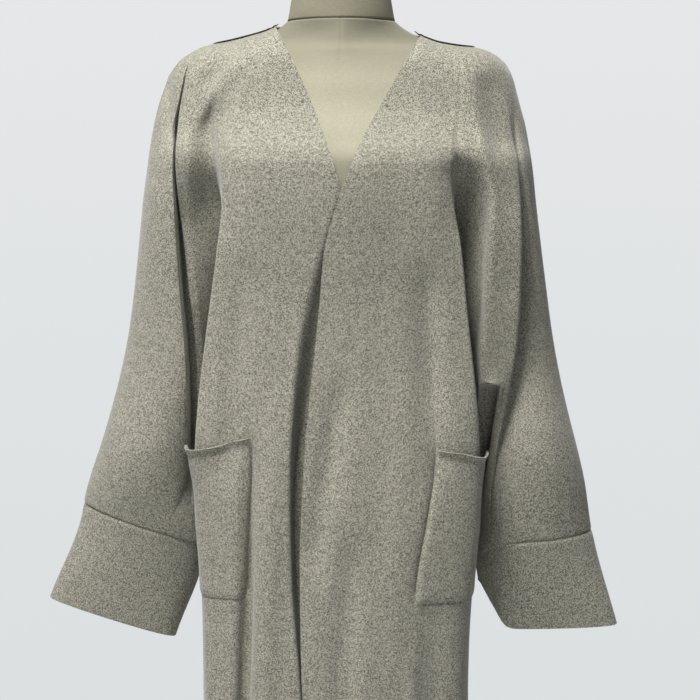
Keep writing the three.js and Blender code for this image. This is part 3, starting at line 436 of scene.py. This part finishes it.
def sleeve_rows(name, part):
    """Rows of a sleeve: the pleated section at the underarm eases into a flattened tube."""
    panel = PANELS[name]
    sleeve = panel["sleeve"]
    direction = -1 if panel["face"] == "front" else 1
    part = column(part)
    middle, z, half, depth, fall, lift, spread = (
        read(sleeve, part, c) for c in SLEEVE_COLUMNS.split()[1:])
    start_out, start_depth = (a[:, SEAM_COLUMN:] for a in upper_section(name, 1, UNDERARM_Z))
    start_shares, shares = sleeve_shares(name, 1.0), sleeve_shares(name, spread)
    blend = ease(part / 0.45)
    nip = panel["upper"]["nip"][-1] * (1 - ease(part / 0.85)) * blend
    crease = shares.shape[1] - 1 - STRETCHES["crease"]
    pleat = np.zeros(shares.shape[1])
    pleat[crease - 3:crease] = 1
    if name == "front_left":
        pleat[crease:] = (1 - np.arange(STRETCHES["crease"] + 1) / STRETCHES["crease"]) ** 3
    roundness = lerp(0.9, 0.55, np.clip(part - 1, 0, 1))
    across = -np.cos(np.pi * shares)
    offset = start_out - sleeve["middle"][0] + sleeve["half"][0] * np.cos(np.pi * start_shares)
    out = half * across + offset
    round_depth = depth * np.sin(np.pi * shares) ** roundness - nip * pleat
    deep = lerp(start_depth * (depth / sleeve["depth"][0]), round_depth, blend)
    deep[:, 0] = 0
    deep[:, -1] = 0
    height = z + fall * out + lift * np.maximum(0, (-across - 0.6) / 0.4) ** 1.15
    return np.stack([panel["side"] * (middle + out), direction * deep, height], axis=2)


def smooth_across(points, steps, before=None, after=None):
    """Rounds each row with a cubic through its points. The slope at a point weighs the rise on both
    sides by the square root of their lengths, and before and after are the neighbours' points."""
    first = 2 * points[:, :1] - points[:, 1:2] if before is None else before[:, None]
    last = 2 * points[:, -1:] - points[:, -2:-1] if after is None else after[:, None]
    padded = np.concatenate([first, points, last], axis=1)
    leap = np.diff(padded, axis=1)
    gap = np.maximum(np.linalg.norm(leap, axis=2, keepdims=True), 1e-6) ** 0.5
    rise = leap / gap
    slope = (rise[:, :-1] * gap[:, 1:] + rise[:, 1:] * gap[:, :-1]) / (gap[:, :-1] + gap[:, 1:])
    span = gap[:, 1:-1, None]
    p, q = points[:, :-1, None], points[:, 1:, None]
    m, n = slope[:, :-1, None] * span, slope[:, 1:, None] * span
    s = (np.arange(steps) / steps).reshape(1, 1, -1, 1)
    curve = (p * (1 + 2 * s) * (1 - s) ** 2 + m * s * (1 - s) ** 2
             + q * s * s * (3 - 2 * s) + n * s * s * (s - 1))
    rows = points.shape[0]
    return np.concatenate([curve.reshape(rows, -1, 3), points[:, -1:]], axis=1)


def smooth_down(points, middle, reach, passes, free=None):
    """Evens out a grid down its columns round one height: each pass moves a point part of the way to
    the mean of its neighbours above and below, less with its distance from that height."""
    points = points.copy()
    near = 1 - ease(np.abs(points[1:-1, :, 2] - middle) / reach)
    if free is not None:
        near = near * free[None, :]
    for _ in range(passes):
        mean = (points[:-2] + points[2:]) / 2
        points[1:-1] += (mean - points[1:-1]) * near[..., None] * 0.5
    return points


def lower_underarm(points, side):
    """Lets the point of the underarm hang lower than the fold in front of it: heights sink in a bell
    round it, most in the plane of the side seam. On the left the fold's own lower end is raised in
    a small bell in front of that plane, which arches the opening."""
    drop, middle = UNDERARM_DROP[side]
    out = np.abs(points[..., 0])
    z = points[..., 2]
    upper = ease(1 - (z - UNDERARM_Z) / 150) * (z >= UNDERARM_Z)
    lower = ease(1 - (UNDERARM_Z - z) / 260) * (z < UNDERARM_Z)
    bell = np.exp(-(((out - middle) / 30) ** 2)) * np.exp(-((points[..., 1] / 38) ** 2))
    moved = points.copy()
    moved[..., 2] -= drop * (upper + lower) * bell
    if side == "left":
        arch = np.exp(-(((out - 160) / 15) ** 2)) * np.exp(-(((z - 1090) / 24) ** 2))
        moved[..., 2] += 9 * arch * ease((-points[..., 1] - 25) / 30)
    return moved


def grid_normals(points, outward):
    """Unit normals of a grid from the cross product of its two directions, turned outwards."""
    down, across = np.gradient(points, axis=0), np.gradient(points, axis=1)
    normal = np.cross(across, down)
    normal /= np.maximum(np.linalg.norm(normal, axis=2, keepdims=True), 1e-9)
    return normal * outward


def distance_to_line(x, z, places):
    """Distance of each point from a line of places, and how far along the line it is, from 0 to 1."""
    places = np.array(places, float)
    legs = np.diff(places, axis=0)
    lengths = np.linalg.norm(legs, axis=1)
    starts = np.concatenate([[0], np.cumsum(lengths)])
    best = np.full(x.shape, np.inf)
    along = np.zeros(x.shape)
    for (x0, z0), (dx, dz), length, start in zip(places, legs, lengths, starts):
        s = np.clip(((x - x0) * dx + (z - z0) * dz) / length ** 2, 0, 1)
        gap = np.hypot(x - x0 - s * dx, z - z0 - s * dz)
        nearer = gap < best
        best = np.where(nearer, gap, best)
        along = np.where(nearer, (start + s * length) / starts[-1], along)
    return best, along


def crease_height(name, points):
    """Sum of a panel's listed creases: a bell across each, fading towards both its ends."""
    out, z = points[..., 0] * PANELS[name]["side"], points[..., 2]
    height = np.zeros(out.shape)
    for places, width, depth in CREASES[name]:
        gap, along = distance_to_line(out, z, places)
        height += depth * np.exp(-((gap / width) ** 2)) * ease(along / 0.25) * ease((1 - along) / 0.25)
    return height


def ripple(name, points):
    """Slight unevenness of hanging cloth: a few long waves that cross at odd angles."""
    x, z = points[..., 0], points[..., 2]
    phase = {"front_right": 0.3, "front_left": 1.7, "back_right": 2.9, "back_left": 4.1}[name]
    waves = ((0.021, 0.0045, 0.9), (-0.034, 0.0062, 0.6), (0.052, 0.011, 0.35), (-0.075, 0.021, 0.2))
    return sum(size * np.sin(a * x + b * z + phase * (i + 1)) for i, (a, b, size) in enumerate(waves))


def cloth_uv(points, turn=0.0, from_end=False):
    """Places on the flat cloth, in millimetres: lengths along the rows, begun at the first or the
    last column's distance out, and the rows' mean distance down."""
    across = np.linalg.norm(np.diff(points, axis=1), axis=2)
    down = np.linalg.norm(np.diff(points, axis=0), axis=2).mean(axis=1)
    u = np.concatenate([np.zeros((points.shape[0], 1)), np.cumsum(across, axis=1)], axis=1)
    u += np.abs(points[:, :1, 0]) if not from_end else np.abs(points[:, -1:, 0]) - u[:, -1:]
    v = -np.concatenate([[0], np.cumsum(down)])[:, None] + 0 * u
    c, s = math.cos(turn), math.sin(turn)
    return np.stack([c * u - s * v, s * u + c * v], axis=2)


# ---------- meshes ----------
def quads_of(index):
    """The four corners of each cell of a grid of point numbers."""
    return np.stack([index[:-1, :-1], index[1:, :-1], index[1:, 1:], index[:-1, 1:]], axis=2).reshape(-1, 4)


def make_mesh(name, grids, material, thickness=WALL):
    """One piece from grids of points in millimetres: each gives quads between its rows, equal points
    are merged, and a thin wall is put round the sheet. A grid is (points, flat places, flip)."""
    points, corners, flats, offset = [], [], [], 0
    for places, flat, flip in grids:
        rows, columns = places.shape[:2]
        index = np.arange(rows * columns).reshape(rows, columns) + offset
        quads = quads_of(index)
        corners.append(quads[:, ::-1] if flip else quads)
        points.append(places.reshape(-1, 3))
        flats.append(flat.reshape(-1, 2))
        offset += rows * columns
    points, corners, flats = np.concatenate(points), np.concatenate(corners), np.concatenate(flats)
    _, first, merged = np.unique(np.round(points, 3), axis=0, return_index=True, return_inverse=True)
    merged = merged.reshape(-1)
    mesh = bpy.data.meshes.new(name)
    mesh.from_pydata((points[first] * MM).tolist(), [], merged[corners].tolist())
    layer = mesh.uv_layers.new(name="flat_cloth")
    layer.data.foreach_set("uv", (flats[corners.reshape(-1)] * MM).astype(np.float32).reshape(-1))
    mesh.polygons.foreach_set("use_smooth", np.ones(len(mesh.polygons), bool))
    mesh.validate()
    piece = bpy.data.objects.new(name, mesh)
    bpy.context.scene.collection.objects.link(piece)
    piece.data.materials.append(material)
    if thickness:
        wall = piece.modifiers.new("wall", "SOLIDIFY")
        wall.thickness = thickness * MM
        wall.offset = 0
        wall.use_quality_normals = True
        rim = piece.modifiers.new("crisp_rim", "EDGE_SPLIT")
        rim.split_angle = math.radians(55)
        rim.use_edge_sharp = False
    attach(piece, "root")
    return piece


# ---------- finishes ----------
def principled(name):
    """A new material and its shader."""
    material = bpy.data.materials.new(name)
    material.use_nodes = True
    return material, material.node_tree.nodes["Principled BSDF"]


def add_node(tree, kind, inputs=None, **settings):
    made = tree.nodes.new(kind)
    for setting, value in settings.items():
        setattr(made, setting, value)
    for socket, value in (inputs or {}).items():
        if isinstance(value, bpy.types.NodeSocket):
            tree.links.new(value, made.inputs[socket])
        else:
            made.inputs[socket].default_value = value
    return made


def maths(tree, operation, first, second):
    made = add_node(tree, "ShaderNodeMath", operation=operation)
    for socket, value in zip(made.inputs, (first, second)):
        if isinstance(value, bpy.types.NodeSocket):
            tree.links.new(value, socket)
        else:
            socket.default_value = value
    return made.outputs[0]


def blend(tree, share, first, second, **settings):
    """A mix of two colours; its share and colours are values or sockets."""
    return add_node(tree, "ShaderNodeMix", {0: share, 6: first, 7: second},
                    data_type="RGBA", **settings).outputs[2]


def woven_group():
    """Flecked woven cloth: short light and dark slubs along both thread directions, a finer fleck, a
    slow change of tone, and the relief of the threads."""
    group = bpy.data.node_groups.new("flecked_weave", "ShaderNodeTree")
    face = group.interface
    for kind, name in (("Vector", "Place"), ("Color", "Dark"), ("Color", "Light"),
                       ("Float", "Thread"), ("Float", "Contrast")):
        face.new_socket(name=name, in_out="INPUT", socket_type="NodeSocket" + kind)
    for kind, name in (("Color", "Color"), ("Float", "Height"), ("Float", "Roughness")):
        face.new_socket(name=name, in_out="OUTPUT", socket_type="NodeSocket" + kind)
    start = group.nodes.new("NodeGroupInput")
    end = group.nodes.new("NodeGroupOutput")
    place = start.outputs["Place"]
    pitch = maths(group, "DIVIDE", 1.0, start.outputs["Thread"])
    scaled = add_node(group, "ShaderNodeVectorMath", operation="SCALE")
    group.links.new(place, scaled.inputs[0])
    group.links.new(pitch, scaled.inputs["Scale"])

    split = add_node(group, "ShaderNodeSeparateXYZ", {"Vector": scaled.outputs[0]})
    across, along = split.outputs[0], split.outputs[1]

    def slubs(run_across, run_along, seed):
        """A chance value for each run of thread crossings."""
        cell = add_node(group, "ShaderNodeCombineXYZ", {
            "X": maths(group, "FLOOR", maths(group, "DIVIDE", across, run_across), 0.0),
            "Y": maths(group, "FLOOR", maths(group, "DIVIDE", along, run_along), 0.0), "Z": seed})
        return add_node(group, "ShaderNodeTexWhiteNoise", {"Vector": cell.outputs[0]}).outputs["Value"]

    warp = slubs(1.0, 2.0, 1.0)
    weft = slubs(2.0, 1.0, 2.0)
    fleck = slubs(1.0, 1.0, 3.0)
    broad = add_node(group, "ShaderNodeMapping", {
        "Vector": scaled.outputs[0], "Scale": (0.013, 0.013, 1.0)})
    slow = add_node(group, "ShaderNodeTexNoise", {
        "Vector": broad.outputs[0], "Scale": 1.0, "Detail": 2.0}).outputs["Fac"]
    threads = maths(group, "ADD", maths(group, "MULTIPLY", warp, 0.18),
                    maths(group, "MULTIPLY", weft, 0.18))
    mixed = maths(group, "ADD", threads, maths(group, "MULTIPLY", fleck, 0.64))
    away = maths(group, "MULTIPLY", maths(group, "SUBTRACT", mixed, 0.5), start.outputs["Contrast"])
    tone = maths(group, "ADD", maths(group, "ADD", away, 0.5),
                 maths(group, "MULTIPLY", maths(group, "SUBTRACT", slow, 0.5), 0.18))
    clamp = add_node(group, "ShaderNodeClamp", {"Value": tone})
    colour = blend(group, clamp.outputs[0], start.outputs["Dark"], start.outputs["Light"])
    over = maths(group, "SINE", maths(group, "MULTIPLY", across, math.pi), 0.0)
    under = maths(group, "SINE", maths(group, "MULTIPLY", along, math.pi), 0.0)
    weave = maths(group, "MULTIPLY", over, under)
    relief = maths(group, "ADD", maths(group, "MULTIPLY", weave, 0.25), mixed)
    group.links.new(colour, end.inputs["Color"])
    group.links.new(relief, end.inputs["Height"])
    rough = maths(group, "ADD", 0.82, maths(group, "MULTIPLY", mixed, 0.15))
    group.links.new(rough, end.inputs["Roughness"])
    return group


WEAVE = woven_group()


def cloth(name, dark, light, thread, contrast, relief, sheen=0.25, painted_shade_from=None):
    """A woven finish on the piece's own flat places. Given a pair of heights, the colour darkens between
    them and stays darker above: painted shade.
    """
    material, shader = principled(name)
    tree = material.node_tree
    place = add_node(tree, "ShaderNodeTexCoord").outputs["UV"]
    weave = add_node(tree, "ShaderNodeGroup")
    weave.node_tree = WEAVE
    tree.links.new(place, weave.inputs["Place"])
    weave.inputs["Dark"].default_value = (*dark, 1)
    weave.inputs["Light"].default_value = (*light, 1)
    weave.inputs["Thread"].default_value = thread
    weave.inputs["Contrast"].default_value = contrast
    colour = weave.outputs["Color"]
    # Painted shade: the colour is multiplied darker from the first height up to the second and above it.
    if painted_shade_from:
        split = add_node(tree, "ShaderNodeSeparateXYZ", {
            "Vector": add_node(tree, "ShaderNodeTexCoord").outputs["Object"]})
        painted_shade = add_node(tree, "ShaderNodeMapRange", {
            "Value": split.outputs[2], "From Min": painted_shade_from[0], "From Max": painted_shade_from[1]})
        colour = blend(tree, painted_shade.outputs[0], colour, (0.58, 0.58, 0.57, 1), blend_type="MULTIPLY")
    tree.links.new(colour, shader.inputs["Base Color"])
    tree.links.new(weave.outputs["Roughness"], shader.inputs["Roughness"])
    bump = add_node(tree, "ShaderNodeBump", {
        "Height": weave.outputs["Height"], "Distance": 0.0005, "Strength": relief})
    tree.links.new(bump.outputs[0], shader.inputs["Normal"])
    shader.inputs["Sheen Weight"].default_value = sheen
    shader.inputs["Sheen Roughness"].default_value = 0.5
    shader.inputs["Specular IOR Level"].default_value = 0.2
    return material


def plain(name, colour, roughness, metallic=0.0, grain=0.03):
    """A hard finish with a faint unevenness in its colour and shine."""
    material, shader = principled(name)
    tree = material.node_tree
    place = add_node(tree, "ShaderNodeTexCoord").outputs["Object"]
    fine = add_node(tree, "ShaderNodeTexNoise", {
        "Vector": place, "Scale": 220.0, "Detail": 3.0}).outputs["Fac"]
    broad = add_node(tree, "ShaderNodeTexNoise", {
        "Vector": place, "Scale": 14.0, "Detail": 2.0}).outputs["Fac"]
    low = (*(c * (1 - grain) for c in colour), 1)
    high = (*(min(1, c * (1 + grain)) for c in colour), 1)
    tree.links.new(blend(tree, broad, low, high), shader.inputs["Base Color"])
    rough = maths(tree, "ADD", roughness - 0.05, maths(tree, "MULTIPLY", fine, 0.1))
    tree.links.new(rough, shader.inputs["Roughness"])
    shader.inputs["Metallic"].default_value = metallic
    bump = add_node(tree, "ShaderNodeBump", {"Height": fine, "Distance": 0.0002, "Strength": 0.25})
    tree.links.new(bump.outputs[0], shader.inputs["Normal"])
    return material


MELANGE = cloth("melange_cloth", (0.115, 0.112, 0.092), (0.43, 0.42, 0.358), 0.00072, 2.8, 0.25)
# Near-black finish for the thin strip laid along each shoulder seam.
SHOULDER_DARK = cloth("dark_tape", (0.008, 0.008, 0.006), (0.03, 0.028, 0.022), 0.0008, 1.0, 0.3)
# Painted shade: the form's linen darkens from 1.4 m up to 1.475 m and stays darker towards the neck.
LINEN = cloth("form_linen", (0.31, 0.3, 0.23), (0.43, 0.415, 0.33), 0.0009, 0.7, 0.12, 0.1, (1.4, 1.475))
# Painted shade: the neck band is the form's linen made darker, for the shade on the turned neck.
SHADED_BAND = cloth("form_band", (0.21, 0.2, 0.15), (0.3, 0.285, 0.215), 0.0009, 0.7, 0.12, 0.1)
STEEL = plain("stand_steel", (0.6, 0.61, 0.62), 0.3, 1.0)
ENAMEL = plain("base_enamel", (0.62, 0.62, 0.6), 0.45)


# ---------- the garment ----------
def panel_grids(name, steps):
    """A panel's body grid and sleeve grid, with normals outwards, before they are moved."""
    face_out = -1 if (PANELS[name]["side"] > 0) == (PANELS[name]["face"] == "front") else 1
    other = PARTNER[name]
    parts = np.linspace(0, 1, FAN_ROWS + 1)[:-1] ** 1.25
    levels = np.linspace(BUST_Z, UNDERARM_Z, 1 + int((BUST_Z - UNDERARM_Z) / ROW_STEP))
    parts = np.concatenate([parts, np.ones(len(levels))])
    heights = np.concatenate([np.full(FAN_ROWS, BUST_Z), levels])
    lows = np.linspace(UNDERARM_Z, HEM_Z, 1 + int((UNDERARM_Z - HEM_Z) / ROW_STEP))[1:]
    arms = np.concatenate([np.linspace(0, 0.97, 24)[1:], (0.98, 0.988, 0.995, 1)])
    middle = None
    if PANELS[name]["face"] == "back":
        mirror = "back_left" if name == "back_right" else "back_right"
        middle = [upper_rows(mirror, parts, heights)[:, 1], body_rows(mirror, lows)[:, 1]]
    upper = smooth_across(upper_rows(name, parts, heights), steps,
                          middle and middle[0], upper_rows(other, parts, heights)[:, -2])
    body = smooth_across(body_rows(name, lows), steps, middle and middle[1], body_rows(other, lows)[:, -2])
    sleeve = smooth_across(sleeve_rows(name, arms), steps,
                           sleeve_rows(other, arms)[:, 1], sleeve_rows(other, arms)[:, -2])
    seam = SEAM_COLUMN * steps
    inner = np.concatenate([upper[:, :seam + 1], body])
    outer = np.concatenate([upper[:, seam:], sleeve])
    from_seam = ease(np.arange(seam + 1)[::-1] / (4 * steps))
    inner = smooth_down(inner, UNDERARM_Z, 110, 60, from_seam)
    kept = SLEEVE_KEPT[name] * steps
    outer = smooth_down(outer, UNDERARM_Z, 120, 60, ease((np.arange(outer.shape[1]) - kept) / (4 * steps)))
    inner, outer = (smooth_down(grid, BUST_Z, 14, 3) for grid in (inner, outer))
    inner, outer = (lower_underarm(grid, name.split("_")[1]) for grid in (inner, outer))
    grids = []
    for grid in (inner, outer):
        normals = grid_normals(grid, face_out)
        height = (crease_height(name, grid) + ripple(name, grid)) * ease(np.abs(grid[..., 1]) / 25)
        grids.append((grid, normals, height))
    (inner, inner_normals, inner_height), (outer, outer_normals, outer_height) = grids
    whole = grid_normals(np.concatenate([inner[:len(upper)], outer[:len(upper), 1:]], axis=1), face_out)
    inner_normals[:len(upper)] = whole[:, :seam + 1]
    outer_normals[:len(upper)] = whole[:, seam:]
    if name in POCKETS:
        pocket_edge = (STRETCHES["edge"] + STRETCHES["roll"]) * steps + 0.8
        groove = np.exp(-(((np.arange(inner.shape[1]) - pocket_edge) / 1.1) ** 2))[None, :]
        top, bottom = POCKETS[name]["top"][0][1], POCKETS[name]["bottom"]
        z = inner[..., 2]
        inner_height -= 4.5 * groove * ease((top - z) / 12) * ease((z - bottom) / 12)
    outer_height[len(upper):] -= 1.2 * np.exp(-(((1 - arms) / 0.012) ** 2))[:, None]
    inner = inner + inner_normals * inner_height[..., None]
    outer = outer + outer_normals * outer_height[..., None]
    outer[:len(upper), 0] = inner[:len(upper), -1]
    return inner, outer, inner_normals


def shifted(points):
    return points + np.array([GARMENT_SHIFT, 0, 0])


def panel_piece_grids(name, steps):
    inner, outer, _ = panel_grids(name, steps)
    flip = not ((PANELS[name]["side"] > 0) == (PANELS[name]["face"] == "front"))
    inner_uv = cloth_uv(inner)
    outer_uv = cloth_uv(outer, turn=0.7, from_end=True)
    return [(shifted(inner), inner_uv, flip), (shifted(outer), outer_uv, flip)]


FRONT_STEPS = 3
BACK_STEPS = 2
front_right_grids = panel_piece_grids("front_right", FRONT_STEPS)
front_left_grids = panel_piece_grids("front_left", FRONT_STEPS)
back_grids = panel_piece_grids("back_right", BACK_STEPS) + panel_piece_grids("back_left", BACK_STEPS)
front_right = make_mesh("front_right_cloth", front_right_grids, MELANGE)
front_left = make_mesh("front_left_cloth", front_left_grids, MELANGE)
back = make_mesh("back_cloth", back_grids, MELANGE)
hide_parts("front_right")
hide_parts("front_left")
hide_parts("back")


def cuff_grid(side):
    """A cuff: the sleeve's tube carried on from its seam to its hem, front and back in one ring."""
    front, behind = "front_" + side, "back_" + side
    parts = np.concatenate([(1.004, 1.012, 1.022, 1.034), np.linspace(1.06, 2, 17)])
    front_rows, back_rows = sleeve_rows(front, parts), sleeve_rows(behind, parts)
    fore = smooth_across(front_rows, 3, back_rows[:, 1], back_rows[:, -2])
    rear = smooth_across(back_rows, 3, front_rows[:, 1], front_rows[:, -2])
    ring = np.concatenate([fore, rear[:, -2::-1]], axis=1)
    inward = ring.mean(axis=1, keepdims=True) - ring
    inward /= np.linalg.norm(inward, axis=2, keepdims=True)
    return ring + inward * 1.1 * np.exp(-(((parts - 1.004) / 0.016) ** 2))[:, None, None]


for side in ("right", "left"):
    ring = cuff_grid(side)
    flip = side == "right"
    grids = [(shifted(ring), cloth_uv(ring, 0.2), flip)]
    make_mesh(f"cuff_{side}_cloth", grids, MELANGE)
    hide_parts(f"cuff_{side}")


def sample(grid, rows, columns):
    """Places of a grid at fractional rows and columns, straight between its points."""
    r = np.clip(rows, 0, grid.shape[0] - 1.001)
    c = np.clip(columns, 0, grid.shape[1] - 1.001)
    i, j = r.astype(int), c.astype(int)
    s, t = (r - i)[..., None], (c - j)[..., None]
    return ((grid[i, j] * (1 - s) + grid[i + 1, j] * s) * (1 - t)
            + (grid[i, j + 1] * (1 - s) + grid[i + 1, j + 1] * s) * t)


for name, shape in POCKETS.items():
    side = name.split("_")[1]
    inner, _, normals = panel_grids(name, FRONT_STEPS)
    first = (STRETCHES["edge"] + STRETCHES["roll"]) * FRONT_STEPS + 2
    last = (SEAM_COLUMN - STRETCHES["side"] * 0.62) * FRONT_STEPS
    s = np.linspace(0, 1, 40)[None, :]
    t = np.linspace(0, 1, 44)[:, None]
    top_s, top_z = zip(*shape["top"])
    top = np.interp(s, top_s, top_z)
    z = lerp(top, shape["bottom"], t)
    row = np.interp(-z, -inner[:, 0, 2], np.arange(len(inner)))
    across = lerp(first, last, s + 0 * t)
    stand = (2.0 + shape["gape"] * ease((s - 0.45) / 0.5) * (1 - ease(t / 0.45)) ** 2
             + 3.5 * (1 - ease(t / 0.05)))
    rim = ease(s / 0.04) * ease((1 - t) / 0.03)
    stand = lerp(0.9, stand, rim)
    spots = sample(inner, row, across) + sample(normals, row, across) * stand[..., None]
    grids = [(shifted(spots), cloth_uv(spots), side == "right")]
    make_mesh(f"pocket_{side}_cloth", grids, MELANGE)
    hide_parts(f"pocket_{side}")


# ---------- thin near-black strips along the shoulder seams ---
SHOULDER_LINES = {"right": (-1, 73.5, 147), "left": (1, 77, 145)}
for side, (sign, start, end) in SHOULDER_LINES.items():
    out = np.linspace(start, end, 60)[:, None]
    turn = np.linspace(0, 2 * np.pi, 13)[None, :]
    share = (out - start) / (end - start)
    size = 1.15 * np.sqrt(np.clip(1 - (2 * share - 1) ** 6, 0.02, 1))
    wobble = 0.5 * np.sin(out * 0.9) * (1 - ease((share - 0.05) / 0.2))
    z = read(SHOULDER_SEAM, out, side) + 1.5 + wobble + size * np.sin(turn)
    y = 2.4 * size * np.cos(turn)
    dark_line = np.stack([sign * out + 0 * turn, y, z], axis=2)
    grids = [(shifted(dark_line), cloth_uv(dark_line), sign > 0)]
    piece = make_mesh(f"shoulder_tape_{side}_strip", grids, SHOULDER_DARK, thickness=0)
    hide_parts(f"shoulder_tape_{side}")


# ---------- the dress form ----------
FORM = table(
    "z width front back power",
    (1494.3, 60, 50, 50, 1.8), (1487, 69, 51, 49, 1.55), (1479, 83, 53, 50, 1.35),
    (1473, 95, 55, 50, 1.3), (1468, 110, 57, 51, 1.3), (1464, 134, 60, 55, 1.35),
    (1460, 157, 63, 60, 1.4), (1453.5, 170, 66, 64, 1.5), (1438, 178, 74, 73, 1.7),
    (1420, 176, 84, 82, 1.9), (1395, 164, 92, 90, 2.05), (1365, 152, 106, 96, 2.15),
    (1338, 143, 116, 98, 2.2), (1300, 134, 115, 99, 2.2), (1240, 120, 100, 92, 2.2),
    (1170, 108, 84, 82, 2.2), (1120, 104, 80, 78, 2.2), (1060, 110, 85, 86, 2.2),
    (990, 119, 91, 95, 2.2), (930, 121, 93, 98, 2.2), (870, 118, 91, 95, 2.2),
)


def ring_grid(rows, heights, count=129, seam=0.0):
    """Level rings: rounded ovals with |x/width|^power + |y/depth|^power = 1, whose depth differs at
    the front and the back. A seam is a fine groove down the middle of the front."""
    angle = np.linspace(0, 2 * np.pi, count)[None, :]
    z = column(heights)
    round_off = 2 / read(rows, z, "power")
    x = read(rows, z, "width") * np.sign(np.cos(angle)) * np.abs(np.cos(angle)) ** round_off
    behind = np.sin(angle) > 0
    full = np.where(behind, read(rows, z, "back"), read(rows, z, "front"))
    depth = full * np.abs(np.sin(angle)) ** round_off
    groove = seam * np.exp(-((x / 0.9) ** 2))
    y = np.where(behind, 1, -1) * (depth - groove)
    return np.stack([x, y, z + 0 * x], axis=2)


def capped(grid):
    """Closes a stack of rings at its top and its bottom with rows that shrink to their middles."""
    shares = np.array([0.001, 0.3, 0.6, 0.85, 0.97])[:, None, None]
    middle_top = grid[:1].mean(axis=1, keepdims=True)
    middle_low = grid[-1:].mean(axis=1, keepdims=True)
    top = middle_top + (grid[:1] - middle_top) * shares
    low = middle_low + (grid[-1:] - middle_low) * shares[::-1]
    return np.concatenate([top, grid, low])


torso_heights = np.concatenate([np.linspace(1494.3, 1440, 30), np.linspace(1436, 870, 110)])
torso = capped(ring_grid(FORM, torso_heights, seam=0.8))
form = make_mesh("form_torso_linen", [(torso, cloth_uv(torso), False)], LINEN,
                 thickness=0)
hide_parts("form_torso")

NECK = table(
    "z width front back power",
    (1562, 48, 45, 47, 2), (1560, 51, 48, 49.5, 2), (1556, 52.5, 49.5, 50.5, 2),
    (1530, 54, 50, 50, 2), (1506, 57.5, 49.8, 51, 1.97), (1494.8, 59.8, 49.8, 50, 1.85),
)
neck_heights = np.concatenate([np.linspace(1562, 1555, 8), np.linspace(1552, 1494.8, 24)])
neck = capped(ring_grid(NECK, neck_heights))
neck_piece = make_mesh("form_neck_band", [(neck, cloth_uv(neck), False)], SHADED_BAND,
                       thickness=0)
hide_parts("form_neck")

for node, finish in (("stand_pole", STEEL), ("stand_base", ENAMEL)):
    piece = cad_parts[node]
    piece.data.materials.clear()
    piece.data.materials.append(finish)


# ---------- floor, light and camera ----------
def disc(name, radius, z, material):
    angle = np.linspace(0, 2 * np.pi, 97)[None, :]
    spread = np.array([0.002, 0.25, 0.5, 0.75, 1.0])[:, None] * radius
    grid = np.stack([spread * np.cos(angle), spread * np.sin(angle), np.full((5, 97), z)], axis=2)
    mesh = bpy.data.meshes.new(name)
    quads = quads_of(np.arange(5 * 97).reshape(5, 97))
    mesh.from_pydata((grid.reshape(-1, 3) * MM).tolist(), [], quads.tolist())
    piece = bpy.data.objects.new(name, mesh)
    bpy.context.scene.collection.objects.link(piece)
    piece.data.materials.append(material)


disc("studio_floor", 2400.0, -1.0, plain("studio_floor_paint", (0.72, 0.73, 0.735), 0.7, grain=0.01))


def soft_light(name, place, aim, size, power, colour):
    data = bpy.data.lights.new(name, "AREA")
    data.shape = "RECTANGLE"
    data.size, data.size_y = size
    data.energy = power
    data.color = colour
    lamp = bpy.data.objects.new(name, data)
    bpy.context.scene.collection.objects.link(lamp)
    direction = np.array(aim, float) - np.array(place, float)
    turn = math.atan2(direction[0], -direction[1])
    tilt = math.atan2(math.hypot(direction[0], direction[1]), -direction[2])
    lamp.location = place
    lamp.rotation_euler = (tilt, 0, turn + math.pi)


soft_light("key", (-0.62, -1.4, 4.0), (0, 0, 1.2), (0.8, 0.8), 182, (1, 0.985, 0.93))
soft_light("side", (-2.6, -1.6, 1.2), (0, 0, 1.0), (1.2, 1.8), 11, (1, 0.99, 0.97))
soft_light("front", (-0.1, -2.7, 0.65), (0, 0, 0.75), (1.6, 1.0), 7, (0.97, 0.985, 1))
soft_light("back", (0.9, 2.9, 2.5), (0, 0, 1.0), (2.0, 2.0), 42, (1, 1, 1))

world = bpy.data.worlds.new("studio")
bpy.context.scene.world = world
world.use_nodes = True
tree = world.node_tree
background = tree.nodes["Background"]
place = add_node(tree, "ShaderNodeTexCoord").outputs["Generated"]
split = add_node(tree, "ShaderNodeSeparateXYZ", {"Vector": place})
share = add_node(tree, "ShaderNodeMapRange", {
    "Value": split.outputs[2], "From Min": -0.25, "From Max": 0.12, "To Min": 0.0, "To Max": 1.0})
shade = blend(tree, share.outputs[0], (0.70, 0.73, 0.74, 1), (0.775, 0.785, 0.8, 1))
tree.links.new(shade, background.inputs["Color"])
seen = add_node(tree, "ShaderNodeLightPath").outputs["Is Camera Ray"]
strength = maths(tree, "ADD", 0.05, maths(tree, "MULTIPLY", seen, 0.97))
tree.links.new(strength, background.inputs["Strength"])

camera_data = bpy.data.cameras.new("camera")
camera = bpy.data.objects.new("camera", camera_data)
bpy.context.scene.collection.objects.link(camera)
CAMERA_DISTANCE = 2.05
CAMERA_HEIGHT_ANGLE = math.radians(5)
FRAME_WIDTH = 700 * 1.13     # millimetres across the frame at the garment's middle plane
camera.location = (0.00965, -CAMERA_DISTANCE * math.cos(CAMERA_HEIGHT_ANGLE),
                   1.128 + CAMERA_DISTANCE * math.sin(CAMERA_HEIGHT_ANGLE))
camera.rotation_euler = (math.pi / 2 - CAMERA_HEIGHT_ANGLE, 0, 0)
camera_data.sensor_width = 36
camera_data.lens = camera_data.sensor_width * CAMERA_DISTANCE / MM / FRAME_WIDTH
bpy.context.scene.camera = camera
bpy.context.scene.view_settings.view_transform = "Standard"

bpy.context.view_layer.update()
